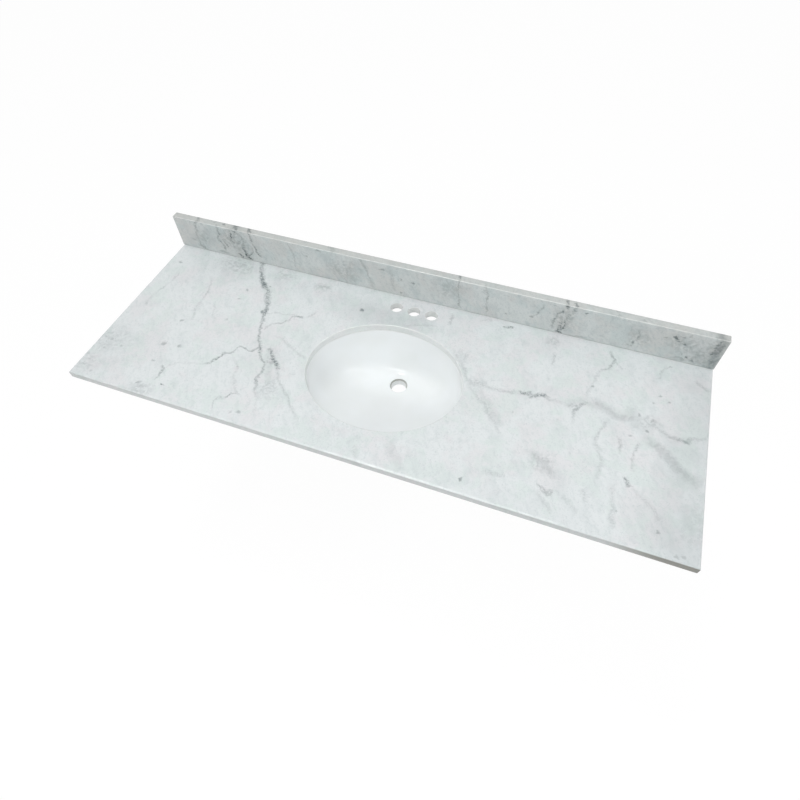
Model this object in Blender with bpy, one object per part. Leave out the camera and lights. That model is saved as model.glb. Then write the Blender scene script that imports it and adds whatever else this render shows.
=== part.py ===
"""Vanity sink top: a polished marble slab with a loose backsplash bonded along its rear edge and
an oval vitreous china basin hung under the slab on a bead of sealant and six clips.

Metres, +Z up. X runs along the wall, Y points into the wall, and Z = 0 is the underside of the slab,
where it rests on the cabinet. The origin is in the middle of the width, on the plane of the wall.
"""

import math

import bmesh
import bpy
from mathutils import Matrix, Vector

# Slab
SLAB_WIDTH = 1.5494
SLAB_DEPTH = 0.5588
SLAB_THICKNESS = 0.020
SLAB_ARRIS = 0.0025

# Backsplash and its adhesive bed
SPLASH_HEIGHT = 0.1016
SPLASH_THICKNESS = 0.020
SPLASH_ARRIS = 0.0025
BED_THICKNESS = 0.0006
BED_INSET = 0.003

# Oval opening over the basin
OPENING_WIDTH = 0.4064
OPENING_DEPTH = 0.3366
OPENING_SETBACK = 0.302
OPENING_ARRIS = 0.0025

# Faucet holes, a row along the wall
FAUCET_HOLE_COUNT = 3
FAUCET_HOLE_BORE = 0.034
FAUCET_HOLE_PITCH = 0.0508
FAUCET_HOLE_SETBACK = 0.0667
FAUCET_HOLE_ARRIS = 0.0010

# Clearance left between pieces that touch
TOUCH_GAP = 0.0003

# Sealant between the slab and the basin's flange
SEAL_THICKNESS = 0.0015
SEAL_WIDTH = 0.014
SEAL_SETBACK = 0.007

# Basin
MOUTH_REVEAL = 0.0010
MOUTH_LIP = 0.003
FLANGE_WIDTH = 0.028
FLANGE_THICKNESS = 0.014
FLANGE_EDGE_ROUND = 0.004
BOWL_DEPTH = 0.144
BOWL_WALL = 0.010
BOWL_SQUARENESS = 2.6

# Waste outlet at the bottom of the bowl
DRAIN_SETBACK = 0.202
DRAIN_SEAT_RADIUS = 0.032
DRAIN_LIP = 0.003
DRAIN_WELL_RADIUS = 0.0235
DRAIN_BORE_RADIUS = 0.02225
DRAIN_BOSS_RADIUS = 0.038
DRAIN_BOSS_HEIGHT = 0.024

# Overflow: a slot in the front wall, and the passage from it to the waste outlet
OVERFLOW_DROP = 0.030
OVERFLOW_SLOT_WIDTH = 0.028
OVERFLOW_SLOT_HEIGHT = 0.011
DUCT_WIDTH = 0.030
DUCT_HEIGHT = 0.0075
DUCT_CASING = 0.005
DUCT_CASING_ROUND = 0.004
DUCT_OUTLET_WIDTH = 0.018
DUCT_SINK = 0.001

# Clip sets that hold the basin up
CLIP_PLACE_DEGREES = (0, 55, 125, 180, 235, 305)
CLIP_WIDTH = 0.025
CLIP_THICKNESS = 0.0025
CLIP_TOE = 0.015
CLIP_HEEL = 0.014
CLIP_HOLE_CLEARANCE = 0.0005
CLIP_BEND = 0.003
STUD_STANDOFF = 0.011
STUD_RADIUS = 0.003
STUD_IN_ANCHOR = 0.010
STUD_TAIL = 0.006
ANCHOR_RADIUS = 0.005
ANCHOR_LENGTH = 0.013
ANCHOR_ROOF = 0.0015
WASHER_RADIUS = 0.008
WASHER_THICKNESS = 0.0015
NUT_RADIUS = 0.006
NUT_HEIGHT = 0.007
WING_SPAN = 0.028
WING_HEIGHT = 0.011
WING_THICKNESS = 0.003
WING_ROUND = 0.003

# How far a cutter reaches past what it cuts
OVERRUN = 0.010

# Facets
OVAL_SIDES = 72
HOLE_SIDES = 32
SMALL_SIDES = 16
ARRIS_STEPS = 2
BOWL_STEPS = 14

OPENING_Y = -OPENING_SETBACK
DRAIN_Y = -DRAIN_SETBACK
SEAL_TOP = -TOUCH_GAP
SEAL_BOTTOM = SEAL_TOP - SEAL_THICKNESS
FLANGE_TOP = SEAL_BOTTOM - TOUCH_GAP
FLANGE_BOTTOM = FLANGE_TOP - FLANGE_THICKNESS
BOWL_BOTTOM = FLANGE_TOP - BOWL_DEPTH
BOSS_BOTTOM = BOWL_BOTTOM - DRAIN_BOSS_HEIGHT
MOUTH_HALF_WIDTH = OPENING_WIDTH / 2 + MOUTH_REVEAL
MOUTH_HALF_DEPTH = OPENING_DEPTH / 2 + MOUTH_REVEAL
FLANGE_HALF_WIDTH = MOUTH_HALF_WIDTH + FLANGE_WIDTH
FLANGE_HALF_DEPTH = MOUTH_HALF_DEPTH + FLANGE_WIDTH


def clear_scene():
    for obj in list(bpy.data.objects):
        bpy.data.objects.remove(obj, do_unlink=True)


def finish(name, color, roughness, metallic=0.0):
    material = bpy.data.materials.new(name)
    material.use_nodes = True
    shader = material.node_tree.nodes["Principled BSDF"]
    shader.inputs["Base Color"].default_value = (*color, 1.0)
    shader.inputs["Roughness"].default_value = roughness
    shader.inputs["Metallic"].default_value = metallic
    return material


def new_object(name, mesh, material=None, parent=None):
    obj = bpy.data.objects.new(name, mesh)
    bpy.context.scene.collection.objects.link(obj)
    if material:
        mesh.materials.clear()
        mesh.materials.append(material)
    obj.parent = parent
    return obj


def mesh_from(bm, name):
    """Write a bmesh to a new mesh with its faces pointing out and its round faces shaded smooth."""
    bmesh.ops.recalc_face_normals(bm, faces=bm.faces)
    mesh = bpy.data.meshes.new(name)
    bm.to_mesh(mesh)
    bm.free()
    mesh.shade_smooth()
    mesh.set_sharp_from_angle(angle=math.radians(35))
    return mesh


def hide_cutter(obj):
    obj.hide_render = True
    obj.display_type = "WIRE"
    return obj


def boolean(obj, cutter, operation="DIFFERENCE"):
    modifier = obj.modifiers.new(cutter.name, "BOOLEAN")
    modifier.object = cutter
    modifier.operation = operation
    modifier.solver = "EXACT"


def add_box(bm, low, high):
    """A box between two corners. Returns its edges."""
    size = Vector(high) - Vector(low)
    centre = (Vector(high) + Vector(low)) / 2
    matrix = Matrix.Translation(centre) @ Matrix.Diagonal((*size, 1.0))
    verts = bmesh.ops.create_cube(bm, size=1.0, matrix=matrix)["verts"]
    return list({edge for vert in verts for edge in vert.link_edges})


def oval_loop(bm, x, y, half_width, half_depth, z, sides):
    """The vertices of one level oval round (x, y)."""
    turns = [2 * math.pi * i / sides for i in range(sides)]
    points = [(x + half_width * math.cos(turn), y + half_depth * math.sin(turn), z) for turn in turns]
    return [bm.verts.new(point) for point in points]


def bridge(bm, one, two):
    """Faces between two loops of vertices."""
    for i in range(len(one)):
        j = (i + 1) % len(one)
        bm.faces.new((one[i], one[j], two[j], two[i]))


def add_stack(bm, rings, sides):
    """A closed solid through level ovals, each (centre x, centre y, half width, half depth, z)."""
    loops = [oval_loop(bm, *ring, sides) for ring in rings]
    for upper, lower in zip(loops, loops[1:]):
        bridge(bm, upper, lower)
    bm.faces.new(loops[0])
    bm.faces.new(reversed(loops[-1]))


def add_ring(bm, x, y, outer, inner, top, bottom, sides):
    """A flat ring: outer and inner are (half width, half depth)."""
    corners = ((outer, top), (outer, bottom), (inner, bottom), (inner, top))
    loops = [oval_loop(bm, x, y, *half_sizes, z, sides) for half_sizes, z in corners]
    for one, two in zip(loops, loops[1:] + loops[:1]):
        bridge(bm, one, two)


def ease(bm, edges, radius):
    """Round edges over."""
    bmesh.ops.bevel(bm, geom=edges, offset=radius, segments=ARRIS_STEPS, profile=0.5, affect="EDGES")


def quarter_round_shares():
    """(sine, cosine) of even steps through a quarter turn."""
    angles = [math.pi / 2 * step / ARRIS_STEPS for step in range(ARRIS_STEPS + 1)]
    return [(math.sin(angle), math.cos(angle)) for angle in angles]


def add_prism(bm, outline, axis, start, end):
    """Extrude an outline of (u, v): along X, u is Y and v is Z; along Y, u is X and v is Z."""
    def place(u, v, w):
        return (w, u, v) if axis == "x" else (u, w, v)

    near = [bm.verts.new(place(u, v, start)) for u, v in outline]
    far = [bm.verts.new(place(u, v, end)) for u, v in outline]
    bridge(bm, near, far)
    bm.faces.new(near)
    bm.faces.new(reversed(far))


def hole_rings(x, y, half_width, half_depth, arris):
    """A hole right through the slab, with its top edge rounded over by arris."""
    rings = [(x, y, half_width, half_depth, -OVERRUN)]
    for sine, cosine in quarter_round_shares():
        grow = arris * (1 - cosine)
        z = SLAB_THICKNESS - arris * (1 - sine)
        rings.append((x, y, half_width + grow, half_depth + grow, z))
    rings.append((x, y, half_width + arris, half_depth + arris, SLAB_THICKNESS + OVERRUN))
    return rings


def faucet_hole_places():
    middle = (FAUCET_HOLE_COUNT - 1) / 2
    return [((i - middle) * FAUCET_HOLE_PITCH, -FAUCET_HOLE_SETBACK) for i in range(FAUCET_HOLE_COUNT)]


def clip_places():
    """Stud axes round the flange, each (x, y, angle of the outward normal)."""
    places = []
    for degrees in CLIP_PLACE_DEGREES:
        angle = math.radians(degrees)
        edge = Vector((FLANGE_HALF_WIDTH * math.cos(angle), FLANGE_HALF_DEPTH * math.sin(angle)))
        normal = Vector((FLANGE_HALF_DEPTH * math.cos(angle), FLANGE_HALF_WIDTH * math.sin(angle)))
        normal.normalize()
        stud = edge + normal * STUD_STANDOFF
        places.append((stud.x, OPENING_Y + stud.y, math.atan2(normal.y, normal.x)))
    return places


def make_block(name, low, high, arris, material):
    """A stone block: its rear and under edges stay square, and its other edges are eased."""
    bm = bmesh.new()
    edges = add_box(bm, low, high)
    middle = (Vector(low) + Vector(high)) / 2
    rear = [edge for edge in edges if all(vert.co.y > middle.y for vert in edge.verts)]
    under = [edge for edge in edges if all(vert.co.z < middle.z for vert in edge.verts)]
    eased = [edge for edge in edges if edge not in rear and edge not in under]
    ease(bm, eased, arris)
    return new_object(name, mesh_from(bm, name), material)


def make_slab(material):
    half = SLAB_WIDTH / 2
    slab = make_block("slab", (-half, -SLAB_DEPTH, 0), (half, 0, SLAB_THICKNESS), SLAB_ARRIS, material)

    bm = bmesh.new()
    opening = hole_rings(0, OPENING_Y, OPENING_WIDTH / 2, OPENING_DEPTH / 2, OPENING_ARRIS)
    add_stack(bm, opening, OVAL_SIDES)
    radius = FAUCET_HOLE_BORE / 2
    for x, y in faucet_hole_places():
        add_stack(bm, hole_rings(x, y, radius, radius, FAUCET_HOLE_ARRIS), HOLE_SIDES)
    radius = ANCHOR_RADIUS + TOUCH_GAP
    for x, y, _ in clip_places():
        socket = [(x, y, radius, radius, z) for z in (-OVERRUN, ANCHOR_LENGTH + TOUCH_GAP)]
        add_stack(bm, socket, SMALL_SIDES)
    boolean(slab, hide_cutter(new_object("slab_holes", mesh_from(bm, "slab_holes"))))


def make_backsplash(material):
    half = SLAB_WIDTH / 2
    foot = SLAB_THICKNESS + BED_THICKNESS + 2 * TOUCH_GAP
    low = (-half, -SPLASH_THICKNESS, foot)
    make_block("backsplash", low, (half, 0, foot + SPLASH_HEIGHT), SPLASH_ARRIS, material)


def make_adhesive_bed(material):
    bm = bmesh.new()
    half = SLAB_WIDTH / 2 - BED_INSET
    low = SLAB_THICKNESS + TOUCH_GAP
    add_box(bm, (-half, -SPLASH_THICKNESS + BED_INSET, low), (half, -BED_INSET, low + BED_THICKNESS))
    new_object("adhesive_bed", mesh_from(bm, "adhesive_bed"), material)


def make_seal(material):
    bm = bmesh.new()
    inner = (OPENING_WIDTH / 2 + SEAL_SETBACK, OPENING_DEPTH / 2 + SEAL_SETBACK)
    outer = (inner[0] + SEAL_WIDTH, inner[1] + SEAL_WIDTH)
    add_ring(bm, 0, OPENING_Y, outer, inner, SEAL_TOP, SEAL_BOTTOM, OVAL_SIDES)
    new_object("basin_seal", mesh_from(bm, "basin_seal"), material)


def bowl_shares(step):
    """Radius share and depth share of the bowl's curve, from its mouth (step 0) to its floor."""
    angle = math.pi / 2 * step / BOWL_STEPS
    power = 2 / BOWL_SQUARENESS
    return max(0.0, math.cos(angle)) ** power, math.sin(angle) ** power


def bowl_ring(radius_share, z, mouth_width, mouth_depth, floor_radius):
    """An oval of the bowl, drawn in from its mouth towards the round floor over the waste outlet."""
    y = DRAIN_Y + (OPENING_Y - DRAIN_Y) * radius_share
    half_width = floor_radius + (mouth_width - floor_radius) * radius_share
    half_depth = floor_radius + (mouth_depth - floor_radius) * radius_share
    return (0, y, half_width, half_depth, z)


def bowl_inside():
    """Rings of the space inside the bowl and its outlet, from above the flange to below the boss."""
    half_width = MOUTH_HALF_WIDTH + MOUTH_LIP
    half_depth = MOUTH_HALF_DEPTH + MOUTH_LIP
    rings = [(0, OPENING_Y, half_width, half_depth, FLANGE_TOP + OVERRUN)]
    for sine, cosine in quarter_round_shares():
        shrink = MOUTH_LIP * sine
        z = FLANGE_TOP - MOUTH_LIP * (1 - cosine)
        rings.append((0, OPENING_Y, half_width - shrink, half_depth - shrink, z))
    depth = BOWL_DEPTH - MOUTH_LIP
    for step in range(1, BOWL_STEPS + 1):
        radius_share, depth_share = bowl_shares(step)
        z = FLANGE_TOP - MOUTH_LIP - depth * depth_share
        rings.append(bowl_ring(radius_share, z, MOUTH_HALF_WIDTH, MOUTH_HALF_DEPTH, DRAIN_SEAT_RADIUS))
    for sine, cosine in quarter_round_shares():
        radius = DRAIN_WELL_RADIUS + DRAIN_LIP * (1 - sine)
        rings.append((0, DRAIN_Y, radius, radius, BOWL_BOTTOM - DRAIN_LIP * (1 - cosine)))
    rings.append((0, DRAIN_Y, DRAIN_BORE_RADIUS, DRAIN_BORE_RADIUS, BOSS_BOTTOM))
    rings.append((0, DRAIN_Y, DRAIN_BORE_RADIUS, DRAIN_BORE_RADIUS, BOSS_BOTTOM - OVERRUN))
    return rings


def bowl_outside():
    """Rings of the china's outer surface, from the flange's top to the bottom of the waste boss."""
    rings = []
    for sine, cosine in quarter_round_shares():
        shrink = FLANGE_EDGE_ROUND * (1 - sine)
        z = FLANGE_TOP - FLANGE_EDGE_ROUND * (1 - cosine)
        rings.append((0, OPENING_Y, FLANGE_HALF_WIDTH - shrink, FLANGE_HALF_DEPTH - shrink, z))
    rings.append((0, OPENING_Y, FLANGE_HALF_WIDTH, FLANGE_HALF_DEPTH, FLANGE_BOTTOM))
    for step in range(BOWL_STEPS + 1):
        rings.append(outside_ring(step))
    rings.append((0, DRAIN_Y, DRAIN_BOSS_RADIUS, DRAIN_BOSS_RADIUS, BOSS_BOTTOM))
    return rings


def outside_ring(step):
    radius_share, depth_share = bowl_shares(step)
    depth = BOWL_BOTTOM - BOWL_WALL - FLANGE_BOTTOM
    z = FLANGE_BOTTOM + depth * depth_share
    width = MOUTH_HALF_WIDTH + BOWL_WALL
    return bowl_ring(radius_share, z, width, MOUTH_HALF_DEPTH + BOWL_WALL, DRAIN_BOSS_RADIUS)


def front_profile(offset):
    """Points (y, z) down the front of the outer surface at x = 0, moved outwards by offset."""
    line = []
    for step in range(BOWL_STEPS + 1):
        _, y, _, half_depth, z = outside_ring(step)
        line.append(Vector((y - half_depth, z)))
    points = []
    for i, point in enumerate(line):
        along = line[min(i + 1, BOWL_STEPS)] - line[max(i - 1, 0)]
        outward = Vector((along.y, -along.x)).normalized()
        points.append(point + outward * offset)
    return points


def duct_outline(inner_offset, outer_offset, end_y, top_z):
    """A band along the front of the bowl, closed at the bottom end beside the waste boss."""
    inner = front_profile(inner_offset)
    outer = front_profile(outer_offset)
    outline = [(inner[0].x, top_z)] + [tuple(point) for point in inner] + [(end_y, inner[-1].y)]
    outline += [(end_y, outer[-1].y)] + [tuple(point) for point in reversed(outer)] + [(outer[0].x, top_z)]
    return outline


def make_basin(material):
    bm = bmesh.new()
    add_stack(bm, bowl_outside(), OVAL_SIDES)
    basin = new_object("basin", mesh_from(bm, "basin"), material)

    bm = bmesh.new()
    half = DUCT_WIDTH / 2 + DUCT_CASING
    casing = DUCT_HEIGHT - DUCT_SINK + DUCT_CASING
    under_flange = FLANGE_BOTTOM + FLANGE_THICKNESS / 2
    add_prism(bm, duct_outline(-BOWL_WALL / 2, casing, DRAIN_Y, under_flange), "x", -half, half)
    rims = [edge for edge in bm.edges if edge.verts[0].co.x * edge.verts[1].co.x > 0]
    ease(bm, rims, DUCT_CASING_ROUND)
    boolean(basin, hide_cutter(new_object("duct_casing", mesh_from(bm, "duct_casing"))), "UNION")

    bm = bmesh.new()
    add_stack(bm, bowl_inside(), OVAL_SIDES)
    boolean(basin, hide_cutter(new_object("bowl_inside", mesh_from(bm, "bowl_inside"))))

    boolean(basin, make_duct_bore())
    boolean(basin, make_duct_outlet())
    boolean(basin, make_overflow_slot())


def duct_end_y():
    """Where the wide part of the passage ends, inside the wall of the waste boss."""
    return DRAIN_Y - (DRAIN_BOSS_RADIUS + DRAIN_BORE_RADIUS) / 2


def overflow_z():
    return FLANGE_TOP - OVERFLOW_DROP


def make_duct_bore():
    bm = bmesh.new()
    half = DUCT_WIDTH / 2
    top = overflow_z() + OVERFLOW_SLOT_HEIGHT / 2
    inner = [point for point in front_profile(-DUCT_SINK) if point.y < top]
    outer = [point for point in front_profile(DUCT_HEIGHT - DUCT_SINK) if point.y < top]
    end = duct_end_y()
    outline = [(inner[0].x, top)] + [tuple(point) for point in inner if point.x < end]
    outline += [(end, inner[-1].y), (end, outer[-1].y)]
    outline += [tuple(point) for point in reversed(outer) if point.x < end] + [(outer[0].x, top)]
    add_prism(bm, outline, "x", -half, half)
    return hide_cutter(new_object("duct_bore", mesh_from(bm, "duct_bore")))


def make_duct_outlet():
    """The narrower mouth of the passage, through the wall of the boss into the waste outlet."""
    bm = bmesh.new()
    half = DUCT_OUTLET_WIDTH / 2
    low = front_profile(DUCT_HEIGHT - DUCT_SINK)[-1].y + DUCT_SINK / 2
    high = front_profile(-DUCT_SINK)[-1].y - DUCT_SINK / 2
    start = duct_end_y() - DUCT_CASING
    add_box(bm, (-half, start, low), (half, DRAIN_Y - DRAIN_BORE_RADIUS / 2, high))
    return hide_cutter(new_object("duct_outlet", mesh_from(bm, "duct_outlet")))


def make_overflow_slot():
    """A round-ended slot through the front wall of the bowl, along Y."""
    bm = bmesh.new()
    radius = OVERFLOW_SLOT_HEIGHT / 2
    straight = OVERFLOW_SLOT_WIDTH / 2 - radius
    outline = []
    for side, start in ((1, -90), (-1, 90)):
        for step in range(SMALL_SIDES // 2 + 1):
            angle = math.radians(start + 180 * step / (SMALL_SIDES // 2))
            u = side * straight + radius * math.cos(angle)
            outline.append((u, overflow_z() + radius * math.sin(angle)))
    middle = front_profile(DUCT_HEIGHT / 2 - DUCT_SINK)[1].x
    add_prism(bm, outline, "y", middle, OPENING_Y - MOUTH_HALF_DEPTH / 2)
    return hide_cutter(new_object("overflow_slot", mesh_from(bm, "overflow_slot")))


def clip_mesh():
    """A bent strip: a toe under the flange, a hole for the stud and a heel up to the slab."""
    top = FLANGE_BOTTOM - TOUCH_GAP
    bottom = top - CLIP_THICKNESS
    toe = -STUD_STANDOFF - CLIP_TOE
    heel = CLIP_HEEL
    half = CLIP_WIDTH / 2
    inside = heel - CLIP_THICKNESS
    outline = [(toe, top), (inside, top), (inside, -TOUCH_GAP), (heel, -TOUCH_GAP)]
    for sine, cosine in quarter_round_shares():
        outline.append((heel - CLIP_BEND * (1 - cosine), bottom + CLIP_BEND * (1 - sine)))
    outline.append((toe, bottom))
    bm = bmesh.new()
    add_prism(bm, outline, "y", -half, half)
    strip = new_object("clip_strip", mesh_from(bm, "clip_strip"))
    bm = bmesh.new()
    radius = STUD_RADIUS + CLIP_HOLE_CLEARANCE
    add_stack(bm, [(0, 0, radius, radius, z) for z in (bottom - OVERRUN, top + OVERRUN / 2)], SMALL_SIDES)
    cutter = new_object("clip_hole", mesh_from(bm, "clip_hole"))
    return combined(strip, [(cutter, "DIFFERENCE")], "clip")


def combined(base, operands, name):
    """The base after its Booleans, as a plain mesh that several objects can share."""
    for operand, operation in operands:
        boolean(base, operand, operation)
    graph = bpy.context.evaluated_depsgraph_get()
    mesh = bpy.data.meshes.new_from_object(base.evaluated_get(graph))
    mesh.name = name
    for obj in [base] + [operand for operand, _ in operands]:
        bpy.data.objects.remove(obj, do_unlink=True)
    mesh.shade_smooth()
    mesh.set_sharp_from_angle(angle=math.radians(35))
    return mesh


def anchor_mesh():
    """A threaded insert, open below and closed by a thin roof."""
    bm = bmesh.new()
    bore = STUD_RADIUS + TOUCH_GAP
    roof = ANCHOR_LENGTH - ANCHOR_ROOF
    add_stack(bm, [(0, 0, ANCHOR_RADIUS, ANCHOR_RADIUS, z) for z in (0, ANCHOR_LENGTH)], SMALL_SIDES)
    body = new_object("anchor_body", mesh_from(bm, "anchor_body"))
    bm = bmesh.new()
    add_stack(bm, [(0, 0, bore, bore, z) for z in (-OVERRUN, roof)], SMALL_SIDES)
    cutter = new_object("anchor_bore", mesh_from(bm, "anchor_bore"))
    return combined(body, [(cutter, "DIFFERENCE")], "anchor")


def nut_top():
    return FLANGE_BOTTOM - CLIP_THICKNESS - WASHER_THICKNESS - 3 * TOUCH_GAP


def stud_mesh():
    bm = bmesh.new()
    low = nut_top() - NUT_HEIGHT - STUD_TAIL
    add_stack(bm, [(0, 0, STUD_RADIUS, STUD_RADIUS, z) for z in (STUD_IN_ANCHOR, low)], SMALL_SIDES)
    return mesh_from(bm, "stud")


def washer_mesh():
    bm = bmesh.new()
    top = nut_top() + TOUCH_GAP + WASHER_THICKNESS
    bore = STUD_RADIUS + TOUCH_GAP
    outer = (WASHER_RADIUS, WASHER_RADIUS)
    add_ring(bm, 0, 0, outer, (bore, bore), top, top - WASHER_THICKNESS, SMALL_SIDES)
    return mesh_from(bm, "washer")


def wing_nut_mesh():
    """A threaded hub with two raised wings."""
    top = nut_top()
    low = top - NUT_HEIGHT
    bore = STUD_RADIUS + TOUCH_GAP
    bm = bmesh.new()
    add_stack(bm, [(0, 0, NUT_RADIUS, NUT_RADIUS, z) for z in (top, low)], SMALL_SIDES)
    hub = new_object("nut_hub", mesh_from(bm, "nut_hub"))
    operands = []
    root = (STUD_RADIUS + NUT_RADIUS) / 2
    for side in (-1, 1):
        bm = bmesh.new()
        tip = WING_SPAN / 2
        outline = [
            (side * root, top - WING_ROUND),
            (side * root, low + WING_ROUND / 2),
            (side * (tip - WING_ROUND), top - WING_HEIGHT),
            (side * tip, top - WING_HEIGHT + WING_ROUND / 2),
            (side * tip, top - WING_HEIGHT + 2 * WING_ROUND),
        ]
        add_prism(bm, outline, "y", -WING_THICKNESS / 2, WING_THICKNESS / 2)
        operands.append((new_object("nut_wing", mesh_from(bm, "nut_wing")), "UNION"))
    bm = bmesh.new()
    add_stack(bm, [(0, 0, bore, bore, z) for z in (top + OVERRUN, low - OVERRUN)], SMALL_SIDES)
    operands.append((new_object("nut_bore", mesh_from(bm, "nut_bore")), "DIFFERENCE"))
    return combined(hub, operands, "wing_nut")


def make_clip_sets(steel, brass):
    meshes = (
        ("anchor", anchor_mesh(), brass),
        ("stud", stud_mesh(), steel),
        ("clip", clip_mesh(), steel),
        ("washer", washer_mesh(), steel),
        ("wing_nut", wing_nut_mesh(), steel),
    )
    for number, (x, y, angle) in enumerate(clip_places(), start=1):
        holder = bpy.data.objects.new(f"clip_set_{number}", None)
        bpy.context.scene.collection.objects.link(holder)
        holder.location = (x, y, 0)
        holder.rotation_euler = (0, 0, angle)
        for name, mesh, material in meshes:
            new_object(f"{name}_{number}", mesh, material, holder)


def main():
    clear_scene()
    marble = finish("marble", (0.68, 0.71, 0.70), 0.18)
    china = finish("vitreous_china", (0.80, 0.83, 0.84), 0.08)
    silicone = finish("silicone", (0.75, 0.76, 0.76), 0.45)
    steel = finish("zinc_plated_steel", (0.60, 0.61, 0.62), 0.35, 1.0)
    brass = finish("brass", (0.62, 0.48, 0.22), 0.35, 1.0)
    make_slab(marble)
    make_backsplash(marble)
    make_adhesive_bed(silicone)
    make_seal(silicone)
    make_basin(china)
    make_clip_sets(steel, brass)


main()
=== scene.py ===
# %% [markdown]
# # A marble vanity top with an undermount basin
#
# The object is a bathroom counter top. A long slab of white marble carries a low strip of the same stone
# against the wall, and an oval china basin hangs under an opening in the slab.
# The solid model is already made and measured, so this script only dresses it. Each piece below is made
# again with finer edges and gets the finish of the real thing, and none of them changes its size.

# %% Load the measured frame
import math

import bmesh
import bpy
from mathutils import Euler, Matrix, Vector


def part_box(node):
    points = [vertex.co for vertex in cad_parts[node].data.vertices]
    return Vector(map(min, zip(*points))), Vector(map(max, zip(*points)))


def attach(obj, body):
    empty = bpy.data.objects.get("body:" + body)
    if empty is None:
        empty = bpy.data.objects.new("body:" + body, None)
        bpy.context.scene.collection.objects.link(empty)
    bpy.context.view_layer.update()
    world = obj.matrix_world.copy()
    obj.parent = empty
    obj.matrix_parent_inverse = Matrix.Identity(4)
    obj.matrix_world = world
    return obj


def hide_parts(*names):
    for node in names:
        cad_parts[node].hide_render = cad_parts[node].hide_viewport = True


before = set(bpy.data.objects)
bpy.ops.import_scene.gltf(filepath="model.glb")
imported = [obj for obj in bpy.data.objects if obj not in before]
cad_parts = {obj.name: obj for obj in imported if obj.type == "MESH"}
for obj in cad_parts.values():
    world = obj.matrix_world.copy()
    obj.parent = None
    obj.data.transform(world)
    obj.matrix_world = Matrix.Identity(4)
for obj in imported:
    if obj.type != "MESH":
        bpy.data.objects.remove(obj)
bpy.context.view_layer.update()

MM = 0.001

# %% [markdown]
# ## Sizes
#
# The frame gives the corners of every solid, so the outer sizes come from there. The curves in between, such
# as the bowl's, aren't in a box, and the lengths that shape them are written again here in metres.

# %% Sizes of the slab, the splash and the basin
SLAB_LOW, SLAB_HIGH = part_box("slab")
SPLASH_LOW, SPLASH_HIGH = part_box("backsplash")
BASIN_LOW, BASIN_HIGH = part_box("basin")
SEAL_LOW, SEAL_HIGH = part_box("basin_seal")
BED_LOW, BED_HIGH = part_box("adhesive_bed")
ANCHOR_HIGH_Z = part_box("anchor_1")[1].z
STUD_LOW_Z, STUD_HIGH_Z = (corner.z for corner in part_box("stud_1"))
CLIP_LOW_Z, CLIP_HIGH_Z = (corner.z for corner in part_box("clip_1"))
WASHER_LOW_Z, WASHER_HIGH_Z = (corner.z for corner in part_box("washer_1"))
NUT_LOW_Z, NUT_HIGH_Z = (corner.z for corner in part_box("wing_nut_1"))

ARRIS = 2.5 * MM                              # rounding of the splash and of the opening's rim
SLAB_EASING = 5 * MM                          # the slab's own top edge is rounded over more
CORNER = 1.5 * MM                             # and its upright corners less
OPENING_Y = -302 * MM                         # centre of the oval opening
OPENING = Vector((203.2, 168.3)) * MM         # its half width and half depth
FAUCET_HOLES = [Vector((x, -66.7)) * MM for x in (-50.8, 0.0, 50.8)]
FAUCET_HOLE_RADIUS = 17 * MM
FAUCET_HOLE_ARRIS = 1 * MM
CLEARANCE = 0.3 * MM                          # play round a stud, and round an insert in its hole

MOUTH_SETBACK = 1 * MM                        # from the opening's edge out to the bowl's mouth
MOUTH = OPENING + Vector((MOUTH_SETBACK, MOUTH_SETBACK))
MOUTH_LIP = 3 * MM
FLANGE = MOUTH + Vector((28, 28)) * MM
FLANGE_THICKNESS = 14 * MM
FLANGE_ROUND = 4 * MM
FLANGE_BOTTOM = BASIN_HIGH.z - FLANGE_THICKNESS
BOWL_DEPTH = 144 * MM
BOWL_WALL = 10 * MM
BOWL_SQUARENESS = 2.6
BOWL_FLOOR = BASIN_HIGH.z - BOWL_DEPTH
DRAIN_Y = -202 * MM
DRAIN_SEAT_RADIUS = 32 * MM
DRAIN_WELL_RADIUS = 24.6 * MM                 # the short steep drop under the rim of the waste hole
DRAIN_WELL_DEPTH = 6.5 * MM
DRAIN_LEDGE = 1 * MM                          # the slope from the drop to the bore
DRAIN_BORE_RADIUS = 22.25 * MM
DRAIN_LIP = 1.8 * MM
DRAIN_DRAFT = 0.8 * MM                        # the bore narrows this much, so that the mould lets go
DRAIN_BOSS_RADIUS = 38 * MM
LEAN = Vector((0.3, 0.2))                     # a vein moves across and up this much for each mm it goes in
print("Slab", [round(v / MM, 1) for v in SLAB_HIGH - SLAB_LOW], "mm")

# %% [markdown]
# ## The camera
#
# The photograph looks down on the slab from its right end, turned a little about its own line of sight.
# The position and angles were found by matching the corners of the slab and the splash with the picture.
# The camera comes first because the stone's veins are laid out along its lines of sight further down.

# %% Camera
PICTURE = 800                                 # the picture is square, this many pixels a side
SENSOR = 36.0                                 # mm
CAMERA_PLACE = Vector((0.3828, -1.1255, 1.1361))
CAMERA_YAW, CAMERA_PITCH, CAMERA_ROLL = (math.radians(angle) for angle in (22.40, 53.55, -2.62))
CAMERA_LENS = 25.587                          # mm

camera_data = bpy.data.cameras.new("photo_camera")
camera_data.sensor_width = SENSOR
camera_data.lens = CAMERA_LENS
camera = bpy.data.objects.new("photo_camera", camera_data)
bpy.context.scene.collection.objects.link(camera)
camera_turn = Euler((math.pi / 2 - CAMERA_PITCH, 0, CAMERA_YAW)).to_matrix()
camera_turn = camera_turn @ Matrix.Rotation(CAMERA_ROLL, 3, "Z")
camera.matrix_world = Matrix.Translation(CAMERA_PLACE) @ camera_turn.to_4x4()
bpy.context.scene.camera = camera
bpy.context.scene.view_settings.view_transform = "Standard"


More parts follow.
